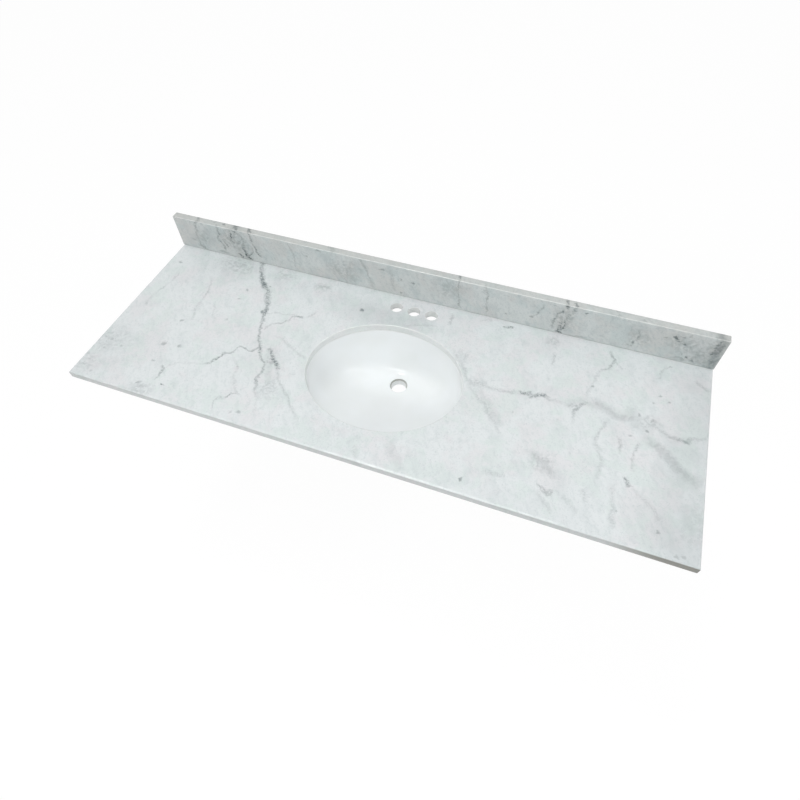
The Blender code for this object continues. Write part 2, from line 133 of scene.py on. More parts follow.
def line_of_sight(pixel):
    """The direction in which the camera sees a pixel (x to the right, y down)."""
    focal = CAMERA_LENS / SENSOR * PICTURE
    across, down = pixel[0] - PICTURE / 2, pixel[1] - PICTURE / 2
    return camera_turn @ Vector((across / focal, -down / focal, -1))


def sighted(pixel, axis, level):
    """Where the line of sight through a pixel meets the plane on which one coordinate has this level."""
    sight = line_of_sight(pixel)
    return CAMERA_PLACE + sight * (level - CAMERA_PLACE[axis]) / sight[axis]


def on_slab(pixel):
    """The spot on the slab's top that a pixel shows, as (x, y) in mm."""
    return sighted(pixel, 2, SLAB_HIGH.z).xy / MM


def on_splash(pixel):
    """The spot on the splash's face that a pixel shows, as (x, z) in mm."""
    return sighted(pixel, 1, SPLASH_LOW.y).xz / MM


def on_splash_top(pixel):
    """The vein that comes out at the spot of the splash's top that a pixel shows, as (x, z) in mm."""
    spot = sighted(pixel, 2, SPLASH_HIGH.z)
    return (spot.xz + LEAN * (spot.y - SPLASH_LOW.y)) / MM


print("The middle faucet hole is seen at", [round(v, 1) for v in on_slab((413.9, 311.5))], "mm")

# %% [markdown]
# ## Light, floor and white surround
#
# Stone is photographed for a catalogue under one broad light from above, with white all round, so that the
# polish shows no hard glare. A plain sky of even grey does most of that work here, and a large lamp above
# gives the top its strength. The sky is white to the camera and to reflections, which is what makes the
# ground white without putting more light on the stone.
#
# The lamps come in two kinds. A fill lights the matt side of a surface and doesn't show in the polish, where
# its outline would be a hard patch. A streak does the opposite: it lights nothing, and is seen as one of the
# highlights in the bowl. A lamp hides what stands behind it, so each streak is a little nearer than its fill.

# %% Small helpers for nodes and colours
def srgb(code):
    """A colour written as sRGB hex, as the linear RGBA that shaders work in."""
    values = [int(code[i:i + 2], 16) / 255 for i in (1, 3, 5)]
    return tuple(v / 12.92 if v <= 0.04045 else ((v + 0.055) / 1.055) ** 2.4 for v in values) + (1.0,)


def add_node(tree, kind, inputs=None, **settings):
    """Add a shader node with its settings. Inputs maps a socket to a value, to the output that feeds it or to
    a node, whose first output then feeds it."""
    made = tree.nodes.new("ShaderNode" + kind)
    for setting, value in settings.items():
        setattr(made, setting, value)
    for socket, value in (inputs or {}).items():
        if isinstance(value, bpy.types.Node):
            value = value.outputs[0]
        if isinstance(value, bpy.types.NodeSocket):
            tree.links.new(value, made.inputs[socket])
        else:
            made.inputs[socket].default_value = value
    return made


def rays_of_sight(tree):
    """1 for rays that look, which are the camera's and those by way of a reflection or through glass, and 0
    for rays that only gather light."""
    path = add_node(tree, "LightPath")
    seen = add_node(tree, "Math", {0: path.outputs["Is Camera Ray"], 1: path.outputs["Is Glossy Ray"]},
                    operation="MAXIMUM")
    return add_node(tree, "Math", {0: seen, 1: path.outputs["Is Transmission Ray"]}, operation="MAXIMUM")


def new_material(name):
    """A new material and its node tree, which is still empty."""
    material = bpy.data.materials.new(name)
    material.use_nodes = True
    material.node_tree.nodes.clear()
    return material, material.node_tree


# %% World
SKY_LEVEL = 0.60                              # light that the stone gets from all round, 1 being white

world = bpy.data.worlds.new("white_studio")
bpy.context.scene.world = world
world.use_nodes = True
tree = world.node_tree
tree.nodes.clear()
strength = add_node(tree, "MapRange", {"Value": rays_of_sight(tree), "To Min": SKY_LEVEL, "To Max": 1.0})
sky = add_node(tree, "Background", {"Color": srgb("#ffffff"), "Strength": strength})
add_node(tree, "OutputWorld", {"Surface": sky})

# %% Floor
FLOOR_Z = -0.86                               # the top of a vanity stands about 860 mm above the floor
FLOOR_HALF = 9.0
FLOOR_WHITENING = 0.88                        # how much of the shade on it the camera doesn't see
FLOOR_GLOW = 1.05                             # brings the open floor up to white, and leaves the shadow

floor_mesh = bpy.data.meshes.new("floor")
floor_corners = [(x * FLOOR_HALF, y * FLOOR_HALF, FLOOR_Z) for x, y in ((-1, -1), (1, -1), (1, 1), (-1, 1))]
floor_mesh.from_pydata(floor_corners, [], [(0, 1, 2, 3)])
floor = bpy.data.objects.new("floor", floor_mesh)
bpy.context.scene.collection.objects.link(floor)

floor_paint, tree = new_material("matt_white_floor")
share = add_node(tree, "Math", {0: rays_of_sight(tree), 1: FLOOR_WHITENING}, operation="MULTIPLY")
matt = add_node(tree, "BsdfDiffuse", {"Color": srgb("#e6e6e6")})
white = add_node(tree, "Emission", {"Color": srgb("#ffffff"), "Strength": FLOOR_GLOW})
both = add_node(tree, "MixShader", {0: share, 1: matt, 2: white})
add_node(tree, "OutputMaterial", {"Surface": both})
floor_mesh.materials.append(floor_paint)

# %% Lamps
def area_lamp(name, place, target, size, level, lights=True, shows=True):
    """A flat lamp. Level is its own brightness, where 1 is as bright as white. It lights matt surfaces, shows
    as a highlight in glossy ones, or does both."""
    lamp = bpy.data.lights.new(name, "AREA")
    lamp.shape = "RECTANGLE"
    lamp.size, lamp.size_y = size
    lamp.energy = level * math.pi * size[0] * size[1]
    holder = bpy.data.objects.new(name, lamp)
    bpy.context.scene.collection.objects.link(holder)
    holder.location = place
    holder.rotation_euler = (Vector(target) - Vector(place)).to_track_quat("-Z", "Y").to_euler()
    holder.visible_diffuse, holder.visible_glossy = lights, shows
    return holder


BOWL = Vector((0, -0.3, 0))                   # what the lamps are aimed at
area_lamp("softbox_above", (-0.25, -0.9, 2.8), BOWL, (1.6, 1.2), 1.65, shows=False)
area_lamp("fill_in_front", (-0.1, -2.2, 1.35), BOWL, (1.2, 0.2), 14.0, shows=False)
area_lamp("fill_from_behind", (-1.06, 0.1, 4.85), BOWL, (1.0, 1.0), 10.5, shows=False)
area_lamp("fill_at_the_right", (1.85, -0.62, 1.15), BOWL, (0.5, 0.2), 14.0, shows=False)
area_lamp("streak_at_the_right", (1.80, -0.60, 0.94), BOWL, (0.55, 0.1), 14.0, lights=False)
area_lamp("streak_in_front", (-0.1, -2.1, 1.17), BOWL, (1.5, 0.2), 17.0, lights=False)
area_lamp("spot_over_the_waste_hole", (-0.9, -0.65, 4.4), BOWL, (0.65, 0.65), 24.0, lights=False)

# %% [markdown]
# ## The stone pieces
#
# The slab and the splash are sawn blocks. Every edge that a hand can reach is eased, which means rounded
# over by a few millimetres, and the edges against the wall and the cabinet stay square. A bevel would give
# all the edges one radius, but the long top edge is rounded more than the short upright corners. So the
# block is a stack of outlines, where each outline nearer the top is a little smaller, and Booleans drill
# the holes as the workshop does. The edge has more steps than in the solid model, so that light runs along
# it in a clean line.

# %% Helpers for making meshes
SMOOTH_LIMIT = math.radians(35)               # sharper edges than this stay crisp


def new_piece(name, mesh):
    """A new object in the scene."""
    piece = bpy.data.objects.new(name, mesh)
    bpy.context.scene.collection.objects.link(piece)
    return piece


def mesh_from(bm, name):
    """A mesh from a bmesh, with its faces pointing out and its curved faces smooth."""
    bmesh.ops.recalc_face_normals(bm, faces=bm.faces)
    mesh = bpy.data.meshes.new(name)
    bm.to_mesh(mesh)
    bm.free()
    mesh.shade_smooth()
    mesh.set_sharp_from_angle(angle=SMOOTH_LIMIT)
    return mesh


def apply_modifiers(piece):
    """Replace the piece's mesh by the one that its modifiers make."""
    graph = bpy.context.evaluated_depsgraph_get()
    mesh = bpy.data.meshes.new_from_object(piece.evaluated_get(graph))
    mesh.name = piece.data.name
    piece.modifiers.clear()
    piece.data = mesh


def settled(piece, cuts=()):
    """The piece after its Booleans. The edges that they cut are marked sharp before the normals are made, or
    a wall would take on some of the shade of the flat face that it meets."""
    for cutter, operation in cuts:
        cut = piece.modifiers.new(cutter.name, "BOOLEAN")
        cut.object = cutter
        cut.operation = operation
        cut.solver = "EXACT"
    apply_modifiers(piece)
    for cutter, _ in cuts:
        bpy.data.objects.remove(cutter, do_unlink=True)
    piece.data.set_sharp_from_angle(angle=SMOOTH_LIMIT)
    weights = piece.modifiers.new("flat_faces", "WEIGHTED_NORMAL")
    weights.keep_sharp = True
    apply_modifiers(piece)
    return piece


def oval(x, y, half_width, half_depth, z, turns):
    """Points of a level oval, one for each angle in turns."""
    return [(x + half_width * math.cos(turn), y + half_depth * math.sin(turn), z) for turn in turns]


def even_turns(sides):
    """Angles that share a full turn evenly."""
    return [2 * math.pi * i / sides for i in range(sides)]


def add_shell(bm, rings, closed=False, capped=False):
    """Faces through rings of points. Closed joins the last ring to the first, capped fills both ends."""
    loops = [[bm.verts.new(point) for point in ring] for ring in rings]
    pairs = list(zip(loops, loops[1:] + (loops[:1] if closed else [])))
    for one, two in pairs:
        for i in range(len(one)):
            j = (i + 1) % len(one)
            bm.faces.new((one[i], one[j], two[j], two[i]))
    if capped:
        bm.faces.new(loops[0])
        bm.faces.new(reversed(loops[-1]))
    return loops


def shell_mesh(name, rings, closed=False, capped=False):
    """A mesh of faces through rings of points."""
    bm = bmesh.new()
    add_shell(bm, rings, closed, capped)
    return mesh_from(bm, name)


def capped_piece(name, rings):
    """A new piece through rings of points, filled at both ends."""
    return new_piece(name, shell_mesh(name, rings, capped=True))


def quarter_round(steps):
    """(sine, cosine) of even steps through a quarter turn."""
    return [(math.sin(math.pi / 2 * i / steps), math.cos(math.pi / 2 * i / steps)) for i in range(steps + 1)]


# %% Slab and splash
ARRIS_STEPS = 6
SHARP_CORNER = 0.4 * MM                       # the least rounding that a corner keeps
OVERRUN = 10 * MM                             # how far a cutter reaches past the stone
OPENING_SIDES, FAUCET_HOLE_SIDES = 240, 64    # flats round a cut hole


def eased_block(name, low, high, easing, corner):
    """A block with its top edge rounded over and its two upright front corners rounded less. Its rear edges
    and the edges underneath stay square."""
    rings = []
    levels = [(0.0, low.z)] + [(easing * (1 - cosine), high.z - easing * (1 - sine))
                               for sine, cosine in quarter_round(ARRIS_STEPS)]
    for inset, z in levels:
        radius = max(corner - inset, SHARP_CORNER)
        left, right, front = low.x + inset + radius, high.x - inset - radius, low.y + inset + radius
        ring = [(left - radius, high.y, z)]
        for sine, cosine in quarter_round(ARRIS_STEPS):
            ring.append((left - radius * cosine, front - radius * sine, z))
        for sine, cosine in quarter_round(ARRIS_STEPS):
            ring.append((right + radius * sine, front - radius * cosine, z))
        rings.append(ring + [(right + radius, high.y, z)])
    return capped_piece(name, rings)


def hole_cutter(name, x, y, half_sizes, arris, sides):
    """A cutter for a hole right through the slab, flared at the top for the eased edge."""
    top = SLAB_HIGH.z
    turns = even_turns(sides)
    rings = [oval(x, y, *half_sizes, -OVERRUN, turns)]
    for sine, cosine in quarter_round(ARRIS_STEPS):
        grow = arris * (1 - cosine)
        rings.append(oval(x, y, half_sizes[0] + grow, half_sizes[1] + grow, top - arris * (1 - sine), turns))
    rings.append(oval(x, y, half_sizes[0] + arris, half_sizes[1] + arris, top + OVERRUN, turns))
    return capped_piece(name, rings)


# %% Places of the clip sets
CLIP_DEGREES = (0, 55, 125, 180, 235, 305)    # where the six sets stand round the flange
STUD_STANDOFF = 11 * MM                       # from the flange's edge to a stud
INSERT_RADIUS = 5 * MM
SOCKET_SIDES = 24


def clip_places():
    """A matrix for each clip set, with its origin on the stud's axis and X pointing away from the bowl."""
    places = []
    for degrees in CLIP_DEGREES:
        angle = math.radians(degrees)
        edge = Vector((FLANGE.x * math.cos(angle), FLANGE.y * math.sin(angle)))
        outward = Vector((FLANGE.y * math.cos(angle), FLANGE.x * math.sin(angle))).normalized()
        stud = edge + outward * STUD_STANDOFF
        turn = Matrix.Rotation(math.atan2(outward.y, outward.x), 4, "Z")
        places.append(Matrix.Translation((stud.x, OPENING_Y + stud.y, 0)) @ turn)
    return places


# %% The blocks, shaped and drilled
slab = eased_block("slab_stone", SLAB_LOW, SLAB_HIGH, SLAB_EASING, CORNER)
holes = [hole_cutter("opening", 0, OPENING_Y, OPENING, ARRIS, OPENING_SIDES)]
for spot in FAUCET_HOLES:
    half_sizes = (FAUCET_HOLE_RADIUS, FAUCET_HOLE_RADIUS)
    holes.append(hole_cutter("faucet_hole", *spot, half_sizes, FAUCET_HOLE_ARRIS, FAUCET_HOLE_SIDES))
socket_radius = INSERT_RADIUS + CLEARANCE
for place in clip_places():
    rings = [oval(*place.translation.xy, socket_radius, socket_radius, z, even_turns(SOCKET_SIDES))
             for z in (-OVERRUN, ANCHOR_HIGH_Z + CLEARANCE)]
    holes.append(capped_piece("anchor_socket", rings))
settled(slab, [(hole, "DIFFERENCE") for hole in holes])
splash = settled(eased_block("backsplash_stone", SPLASH_LOW, SPLASH_HIGH, ARRIS, CORNER))
print("Slab faces:", len(slab.data.polygons), "splash faces:", len(splash.data.polygons))

# %% [markdown]
# ## The china basin
#
# The bowl is a slip-cast shell. Its mouth is an oval, its floor is a round seat for the drain, and the drain
# sits further back than the middle. Each level between them is an oval that shrinks and slides from one to
# the other, so the shell is made as a stack of rings, first down the outside and then up the inside.
# The overflow passage is a flat channel cast on the front of the bowl. On the outside it's a soft ridge, so
# the rings bulge there. Inside it's hollow, and Booleans cut the hollow and its two mouths.

# %% Rings of the bowl
BOWL_STEPS = 44
LIP_STEPS = 6
CASING_HALF_WIDTH = 16 * MM                   # half of the ridge over the overflow passage, where it's full
CASING_FADE = 9 * MM                          # and the width of its soft flank
CASING_HEIGHT = 11.5 * MM
FINE_HALF_ANGLE = 12.0                        # degrees to each side of the front with closer points
FINE_STEP, COARSE_STEP = 0.75, 2.25           # degrees from one point to the next
ANGLE_SLACK = 0.01                            # degrees, so that rounding adds no extra point
FRONT = -90                                   # degrees, the front of the bowl


def basin_turns():
    """Angles round the bowl, closer together at the front, where the overflow ridge runs."""
    turns, angle = [], FRONT - FINE_HALF_ANGLE
    while angle < FRONT + 360 - FINE_HALF_ANGLE - ANGLE_SLACK:
        turns.append(math.radians(angle))
        angle += FINE_STEP if angle < FRONT + FINE_HALF_ANGLE - ANGLE_SLACK else COARSE_STEP
    return turns


def bowl_shares(step):
    """How far out and how deep the bowl is at a step of its curve, as shares, from mouth to floor."""
    angle = math.pi / 2 * step / BOWL_STEPS
    return max(0.0, math.cos(angle)) ** (2 / BOWL_SQUARENESS), math.sin(angle) ** (2 / BOWL_SQUARENESS)


def bowl_ring(radius_share, z, mouth, floor_radius):
    """One level of the bowl as (x, y, half width, half depth, z)."""
    y = DRAIN_Y + (OPENING_Y - DRAIN_Y) * radius_share
    sizes = [floor_radius + (half - floor_radius) * radius_share for half in mouth]
    return (0, y, *sizes, z)


def inside_rings():
    """The glazed inside, from the flange's top down to the foot of the waste hole."""
    rings = []
    for sine, cosine in quarter_round(LIP_STEPS):
        grow = MOUTH_LIP * (1 - sine)
        rings.append((0, OPENING_Y, MOUTH.x + grow, MOUTH.y + grow, BASIN_HIGH.z - MOUTH_LIP * (1 - cosine)))
    for step in range(1, BOWL_STEPS + 1):
        radius_share, depth_share = bowl_shares(step)
        z = BASIN_HIGH.z - MOUTH_LIP - (BOWL_DEPTH - MOUTH_LIP) * depth_share
        rings.append(bowl_ring(radius_share, z, MOUTH, DRAIN_SEAT_RADIUS))
    for sine, cosine in quarter_round(LIP_STEPS):
        radius = DRAIN_WELL_RADIUS + DRAIN_LIP * (1 - sine)
        rings.append((0, DRAIN_Y, radius, radius, BOWL_FLOOR - DRAIN_LIP * (1 - cosine)))
    for radius, depth in ((DRAIN_WELL_RADIUS, 0), (DRAIN_BORE_RADIUS, DRAIN_LEDGE)):
        rings.append((0, DRAIN_Y, radius, radius, BOWL_FLOOR - DRAIN_WELL_DEPTH - depth))
    bore = DRAIN_BORE_RADIUS - DRAIN_DRAFT
    rings.append((0, DRAIN_Y, bore, bore, BASIN_LOW.z))
    return rings


def outside_rings():
    """The outside, from the flange's top down to the foot of the waste boss."""
    rings = []
    for sine, cosine in quarter_round(LIP_STEPS):
        shrink = FLANGE_ROUND * (1 - sine)
        z = BASIN_HIGH.z - FLANGE_ROUND * (1 - cosine)
        rings.append((0, OPENING_Y, FLANGE.x - shrink, FLANGE.y - shrink, z))
    rings.append((0, OPENING_Y, FLANGE.x, FLANGE.y, FLANGE_BOTTOM))
    rings += [outside_ring(step) for step in range(BOWL_STEPS + 1)]
    rings.append((0, DRAIN_Y, DRAIN_BOSS_RADIUS, DRAIN_BOSS_RADIUS, BASIN_LOW.z))
    return rings


def outside_ring(step):
    """One level of the outside below the flange."""
    radius_share, depth_share = bowl_shares(step)
    z = FLANGE_BOTTOM + (BOWL_FLOOR - BOWL_WALL - FLANGE_BOTTOM) * depth_share
    return bowl_ring(radius_share, z, MOUTH + Vector((BOWL_WALL, BOWL_WALL)), DRAIN_BOSS_RADIUS)


def front_profile(offset):
    """(y, z) down the front of the outside at x = 0, moved outwards by offset."""
    levels = [outside_ring(step) for step in range(BOWL_STEPS + 1)]
    line = [Vector((y - half_depth, z)) for _, y, _, half_depth, z in levels]
    moved = []
    for i, point in enumerate(line):
        along = line[min(i + 1, BOWL_STEPS)] - line[max(i - 1, 0)]
        moved.append(point + Vector((along.y, -along.x)).normalized() * offset)
    return moved


def smooth_step(value):
    """0 below 0, 1 above 1 and a soft rise between."""
    value = min(max(value, 0.0), 1.0)
    return value * value * (3 - 2 * value)


# %% Basin shell
# The third material is a grey painted shade for the steep drop inside the waste hole.
GLAZED, SPRAYED, PAINTED_SHADE = 0, 1, 2               # the basin's materials, in the order in which it gets them
PAINTED_SHADE_RINGS = (1, 4)                           # the steep drop, counted up from the foot of the waste hole


def basin_mesh():
    """The whole basin without its overflow: the outside with the ridge raised on it, then the inside."""
    turns = basin_turns()
    outside = [oval(*ring, turns) for ring in outside_rings()]
    first = LIP_STEPS + 2                     # the ring where the wall leaves the flange
    plain, raised = front_profile(0), front_profile(CASING_HEIGHT)
    for step in range(BOWL_STEPS + 1):
        shift = raised[step] - plain[step]
        ring = outside[first + step]
        middle = outside_ring(step)[1]
        for i, (x, y, z) in enumerate(ring):
            if y < middle:
                height = smooth_step((CASING_HALF_WIDTH + CASING_FADE - abs(x)) / CASING_FADE)
                ring[i] = (x, y + shift.x * height, z + shift.y * height)
    inside = [oval(*ring, turns) for ring in inside_rings()]
    bm = bmesh.new()
    loops = add_shell(bm, outside + inside[::-1], closed=True)
    inner = loops[len(outside):]
    glazed = {vert for loop in inner for vert in loop}
    # the faces of the steep drop take the painted shade
    shaded = {vert for loop in inner[slice(*PAINTED_SHADE_RINGS)] for vert in loop}
    for face in bm.faces:
        face.material_index = SPRAYED
        if glazed.issuperset(face.verts):
            face.material_index = PAINTED_SHADE if shaded.issuperset(face.verts) else GLAZED
    return mesh_from(bm, "basin_china")


# %% Overflow passage and slot
PASSAGE_HEIGHT = 7.5 * MM                     # the hollow of the overflow passage
PASSAGE_SINK = 1 * MM                         # how far it bites into the bowl's own wall
PASSAGE_HALF_WIDTH = 15 * MM
PASSAGE_SIDES = (-PASSAGE_SINK, PASSAGE_HEIGHT - PASSAGE_SINK)    # its two walls, from the bowl's outside
PASSAGE_END = DRAIN_Y - (DRAIN_BOSS_RADIUS + DRAIN_BORE_RADIUS) / 2    # inside the wall of the waste hole
OUTLET_HALF_WIDTH = 9 * MM
OUTLET_START = 5 * MM                         # how far inside the passage the cut for its mouth starts
SLOT_Z = BASIN_HIGH.z - 30 * MM
SLOT_HALF_HEIGHT = 5.5 * MM
SLOT_HALF_WIDTH = 14 * MM
SLOT_ROUND = 1.6 * MM                         # the glaze rounds the slot's rim
SLOT_STEPS, SLOT_SIDES = 5, 32


def prism(name, outline, half_width):
    """A band along X with an outline of (y, z)."""
    return capped_piece(name, [[(x, y, z) for y, z in outline] for x in (-half_width, half_width)])


def passage_cutter():
    """The hollow that runs down behind the front wall, from the slot to the waste hole."""
    top = SLOT_Z + SLOT_HALF_HEIGHT
    inner, outer = [[point for point in front_profile(side) if point.y < top and point.x < PASSAGE_END]
                    for side in PASSAGE_SIDES]
    outline = [(inner[0].x, top), *inner, (PASSAGE_END, inner[-1].y)]
    outline += [(PASSAGE_END, outer[-1].y), *reversed(outer), (outer[0].x, top)]
    return prism("overflow_passage", outline, PASSAGE_HALF_WIDTH)


def outlet_cutter():
    """The mouth of the passage in the wall of the waste hole."""
    high, low = (front_profile(side)[-1].y for side in PASSAGE_SIDES)
    high, low = high - PASSAGE_SINK / 2, low + PASSAGE_SINK / 2
    start, end = PASSAGE_END - OUTLET_START, DRAIN_Y - DRAIN_BORE_RADIUS / 2
    return prism("overflow_outlet", [(start, low), (end, low), (end, high), (start, high)], OUTLET_HALF_WIDTH)


def slot_cutter():
    """A round-ended slot through the front wall, with a rim that flares into the bowl."""
    wall = OPENING_Y - MOUTH.y
    straight = SLOT_HALF_WIDTH - SLOT_HALF_HEIGHT
    stops = [(front_profile(PASSAGE_HEIGHT / 2)[1].x, 0.0)]
    for sine, cosine in quarter_round(SLOT_STEPS):
        stops.append((wall - SLOT_ROUND * (1 - sine), SLOT_ROUND * (1 - cosine)))
    stops.append((wall + 4 * SLOT_ROUND, SLOT_ROUND))
    rings = []
    for y, grow in stops:
        radius = SLOT_HALF_HEIGHT + grow
        rings.append([(math.copysign(straight, math.cos(turn)) + radius * math.cos(turn), y,
                       SLOT_Z + radius * math.sin(turn)) for turn in even_turns(SLOT_SIDES)])
    return capped_piece("overflow_slot", rings)


basin = new_piece("basin_china", basin_mesh())
settled(basin, [(cutter, "DIFFERENCE") for cutter in (passage_cutter(), outlet_cutter(), slot_cutter())])
print("Basin faces:", len(basin.data.polygons))

# %% [markdown]
# ## Sealant
#
# Two joints are sealed with white silicone. One is a thin bed under the splash, the other a bead between the
# slab and the basin's flange. Both were soft when the pieces were pressed together, so their edges bulge and
# wander a little. Each is a tube with a flattened round section, and slow waves move its edges.

# %% Silicone beads
SEAL_SIDES = 180
SEAL_WANDER = 0.8 * MM                        # how far the outer edge of the seal wanders
SEAL_STEPS = 6                                # flats round that edge
WIPED_TO_DEGREES = 50                         # how far round the bowl's lip the bead reaches
WIPED_STEPS = 4
WIPED_FOOT, WIPED_MIDDLE, WIPED_TOP = 1.3 * MM, 0.8 * MM, 0.7 * MM    # its hollow face, from the opening
WIPED_DROP = 0.4 * MM                         # how far that face's foot lies under the joint
BED_RECESS = 0.3 * MM                         # from the splash's face to the bed
BED_WANDER = 0.5 * MM
BED_STEPS, BED_SIDES = 160, 12
BED_WAVES = 2.5                               # rounds of the wave along the bed
WANDER_WAVES = ((0.5, 3, 0.7), (0.3, 7, 2.1), (0.2, 16, 0))    # share of the depth, waves in a round, start


def wander(turn, depth):
    """A slow, uneven wave round a closed joint."""
    return depth * sum(share * math.sin(waves * turn + start) for share, waves, start in WANDER_WAVES)


def squeezed_section(half_width, half_height):
    """Points of a flat section with round ends, as (out, up)."""
    points = []
    for turn in even_turns(BED_SIDES):
        side = math.copysign(half_width - half_height, math.cos(turn))
        points.append((side + half_height * math.cos(turn), half_height * math.sin(turn)))
    return points


def seal_bead():
    """The bead round the opening, between the flange and the slab. Its outer edge wanders, and its inner edge
    was wiped with a finger, so it fills the corner down to the lip of the bowl and is a little hollow."""
    top, low = SEAL_HIGH.z, SEAL_LOW.z
    half_height = (top - low) / 2
    turns = even_turns(SEAL_SIDES)
    section = []
    for step in range(WIPED_STEPS + 1):
        turn = math.radians(WIPED_TO_DEGREES) * step / WIPED_STEPS
        out = MOUTH_SETBACK + MOUTH_LIP * (1 - math.sin(turn))
        section.append((out, low - MOUTH_LIP * (1 - math.cos(turn))))
    section += [(WIPED_FOOT, low - WIPED_DROP), (WIPED_MIDDLE, (top + low) / 2), (WIPED_TOP, top)]
    rings = [oval(0, OPENING_Y, OPENING.x + out, OPENING.y + out, z, turns) for out, z in section]
    edge = SEAL_HIGH.x - OPENING.x - half_height - SEAL_WANDER
    for step in range(SEAL_STEPS + 1):
        angle = math.pi / 2 - math.pi * step / SEAL_STEPS
        z = (top + low) / 2 + half_height * math.sin(angle)
        ring = []
        for turn in turns:
            out = edge + wander(turn, SEAL_WANDER) + half_height * math.cos(angle)
            half = OPENING + Vector((out, out))
            ring.append((half.x * math.cos(turn), OPENING_Y + half.y * math.sin(turn), z))
        rings.append(ring)
    return new_piece("seal_bead", shell_mesh("seal_bead", rings, closed=True))


def bed_bead():
    """The bed between the slab and the foot of the splash. It was wiped off nearly flush with the face."""
    low = Vector((BED_LOW.x, SPLASH_LOW.y + BED_RECESS, BED_LOW.z))
    middle = (low + BED_HIGH) / 2
    half_width, half_height = (BED_HIGH.y - low.y) / 2, (BED_HIGH.z - low.z) / 2
    rings = []
    for step in range(BED_STEPS + 1):
        along = step / BED_STEPS
        width = half_width - BED_WANDER + wander(along * BED_WAVES * 2 * math.pi, BED_WANDER)
        x = low.x + (BED_HIGH.x - low.x) * along
        rings.append([(x, middle.y + out, middle.z + up) for out, up in squeezed_section(width, half_height)])
    return capped_piece("bed_bead", rings)


seal, bed = seal_bead(), bed_bead()
print("Beads:", len(seal.data.polygons), "and", len(bed.data.polygons), "faces")

# %% [markdown]
# ## The clip sets
#
# Under the slab, six sets of hardware hold the basin up. A brass insert sits in a hole drilled in the stone,
# a threaded stud screws into it, and a wing nut pushes a bent steel clip up against the flange.
# The same five meshes serve all six places, each drawn round the stud's own axis and then put in place by a
# matrix, so a change to one is a change to all.

# %% Insert, stud and washer
STUD_RADIUS = 3 * MM
THREAD_PITCH = 1 * MM
THREAD_DEPTH = 0.5 * MM
THREAD_SIDES = 20
THREAD_ROWS = 6                               # rings for each turn of the thread
THREAD_SMOOTH = math.radians(80)              # the thread's own slopes stay smooth
INSERT_SIDES = 48
INSERT_CHAMFER = 0.6 * MM
INSERT_CROWN = 1.5 * MM                       # thickness of its closed end
INSERT_PIP = 0.3 * MM                         # radius of the mark that the lathe leaves in that end
KNURL = 0.94                                  # the grooves of the knurl, as a share of its radius
WASHER_RADIUS = 8 * MM
WASHER_PULL = 0.5 * MM                        # how far the punch draws its edge in
WASHER_SIDES = 40
WASHER_RIM_STEPS, WASHER_BORE_STEPS = 4, 3    # flats round its outer edge and round the edge of its hole
BORE_RADIUS = STUD_RADIUS + CLEARANCE


def circle(radius, z, sides):
    """Points of a level circle round the stud's axis."""
    return oval(0, 0, radius, radius, z, even_turns(sides))


def insert_mesh():
    """The brass insert: a knurled sleeve with a threaded bore and a chamfered mouth."""
    top, chamfer = ANCHOR_HIGH_Z, INSERT_CHAMFER
    levels = [
        (INSERT_RADIUS - chamfer, 0), (INSERT_RADIUS * KNURL, chamfer), (INSERT_RADIUS, 2 * chamfer),
        (INSERT_RADIUS, top - 2 * chamfer), (INSERT_RADIUS * KNURL, top - chamfer),
        (INSERT_RADIUS - chamfer, top), (INSERT_PIP, top), (INSERT_PIP, top - INSERT_CROWN),
        (BORE_RADIUS, top - INSERT_CROWN), (BORE_RADIUS, chamfer), (BORE_RADIUS + chamfer, 0)]
    rings = [circle(radius, z, INSERT_SIDES) for radius, z in levels]
    for (radius, _), ring in zip(levels, rings):
        if radius == INSERT_RADIUS:
            ring[::2] = [(x * KNURL, y * KNURL, z) for x, y, z in ring[::2]]
    return shell_mesh("insert", rings, closed=True)


def stud_mesh():
    """A stud threaded all along: each ring follows the thread, which climbs one pitch in a turn."""
    rows = round((STUD_HIGH_Z - STUD_LOW_Z) / THREAD_PITCH * THREAD_ROWS)
    rings = []
    for row in range(rows + 1):
        z = STUD_LOW_Z + (STUD_HIGH_Z - STUD_LOW_Z) * row / rows
        fade = min(1.0, row / THREAD_ROWS, (rows - row) / THREAD_ROWS)
        ring = []
        for side, turn in enumerate(even_turns(THREAD_SIDES)):
            height = abs(2 * ((z / THREAD_PITCH - side / THREAD_SIDES) % 1.0) - 1)
            radius = STUD_RADIUS - THREAD_DEPTH * (1 - height * fade)
            ring.append((radius * math.cos(turn), radius * math.sin(turn), z))
        rings.append(ring)
    mesh = shell_mesh("stud", rings, capped=True)
    mesh.set_sharp_from_angle(angle=THREAD_SMOOTH)
    return mesh


def washer_mesh():
    """A punched washer: its upper edge is drawn in by the punch and its lower edge is square."""
    levels = [(WASHER_RADIUS, WASHER_LOW_Z)]
    for sine, cosine in quarter_round(WASHER_RIM_STEPS):
        levels.append((WASHER_RADIUS - WASHER_PULL * (1 - cosine), WASHER_HIGH_Z - WASHER_PULL * (1 - sine)))
    pull = WASHER_PULL / 2
    for sine, cosine in reversed(quarter_round(WASHER_BORE_STEPS)):
        levels.append((BORE_RADIUS + pull * (1 - cosine), WASHER_HIGH_Z - pull * (1 - sine)))
    levels.append((BORE_RADIUS, WASHER_LOW_Z))
    return shell_mesh("washer", [circle(radius, z, WASHER_SIDES) for radius, z in levels], closed=True)


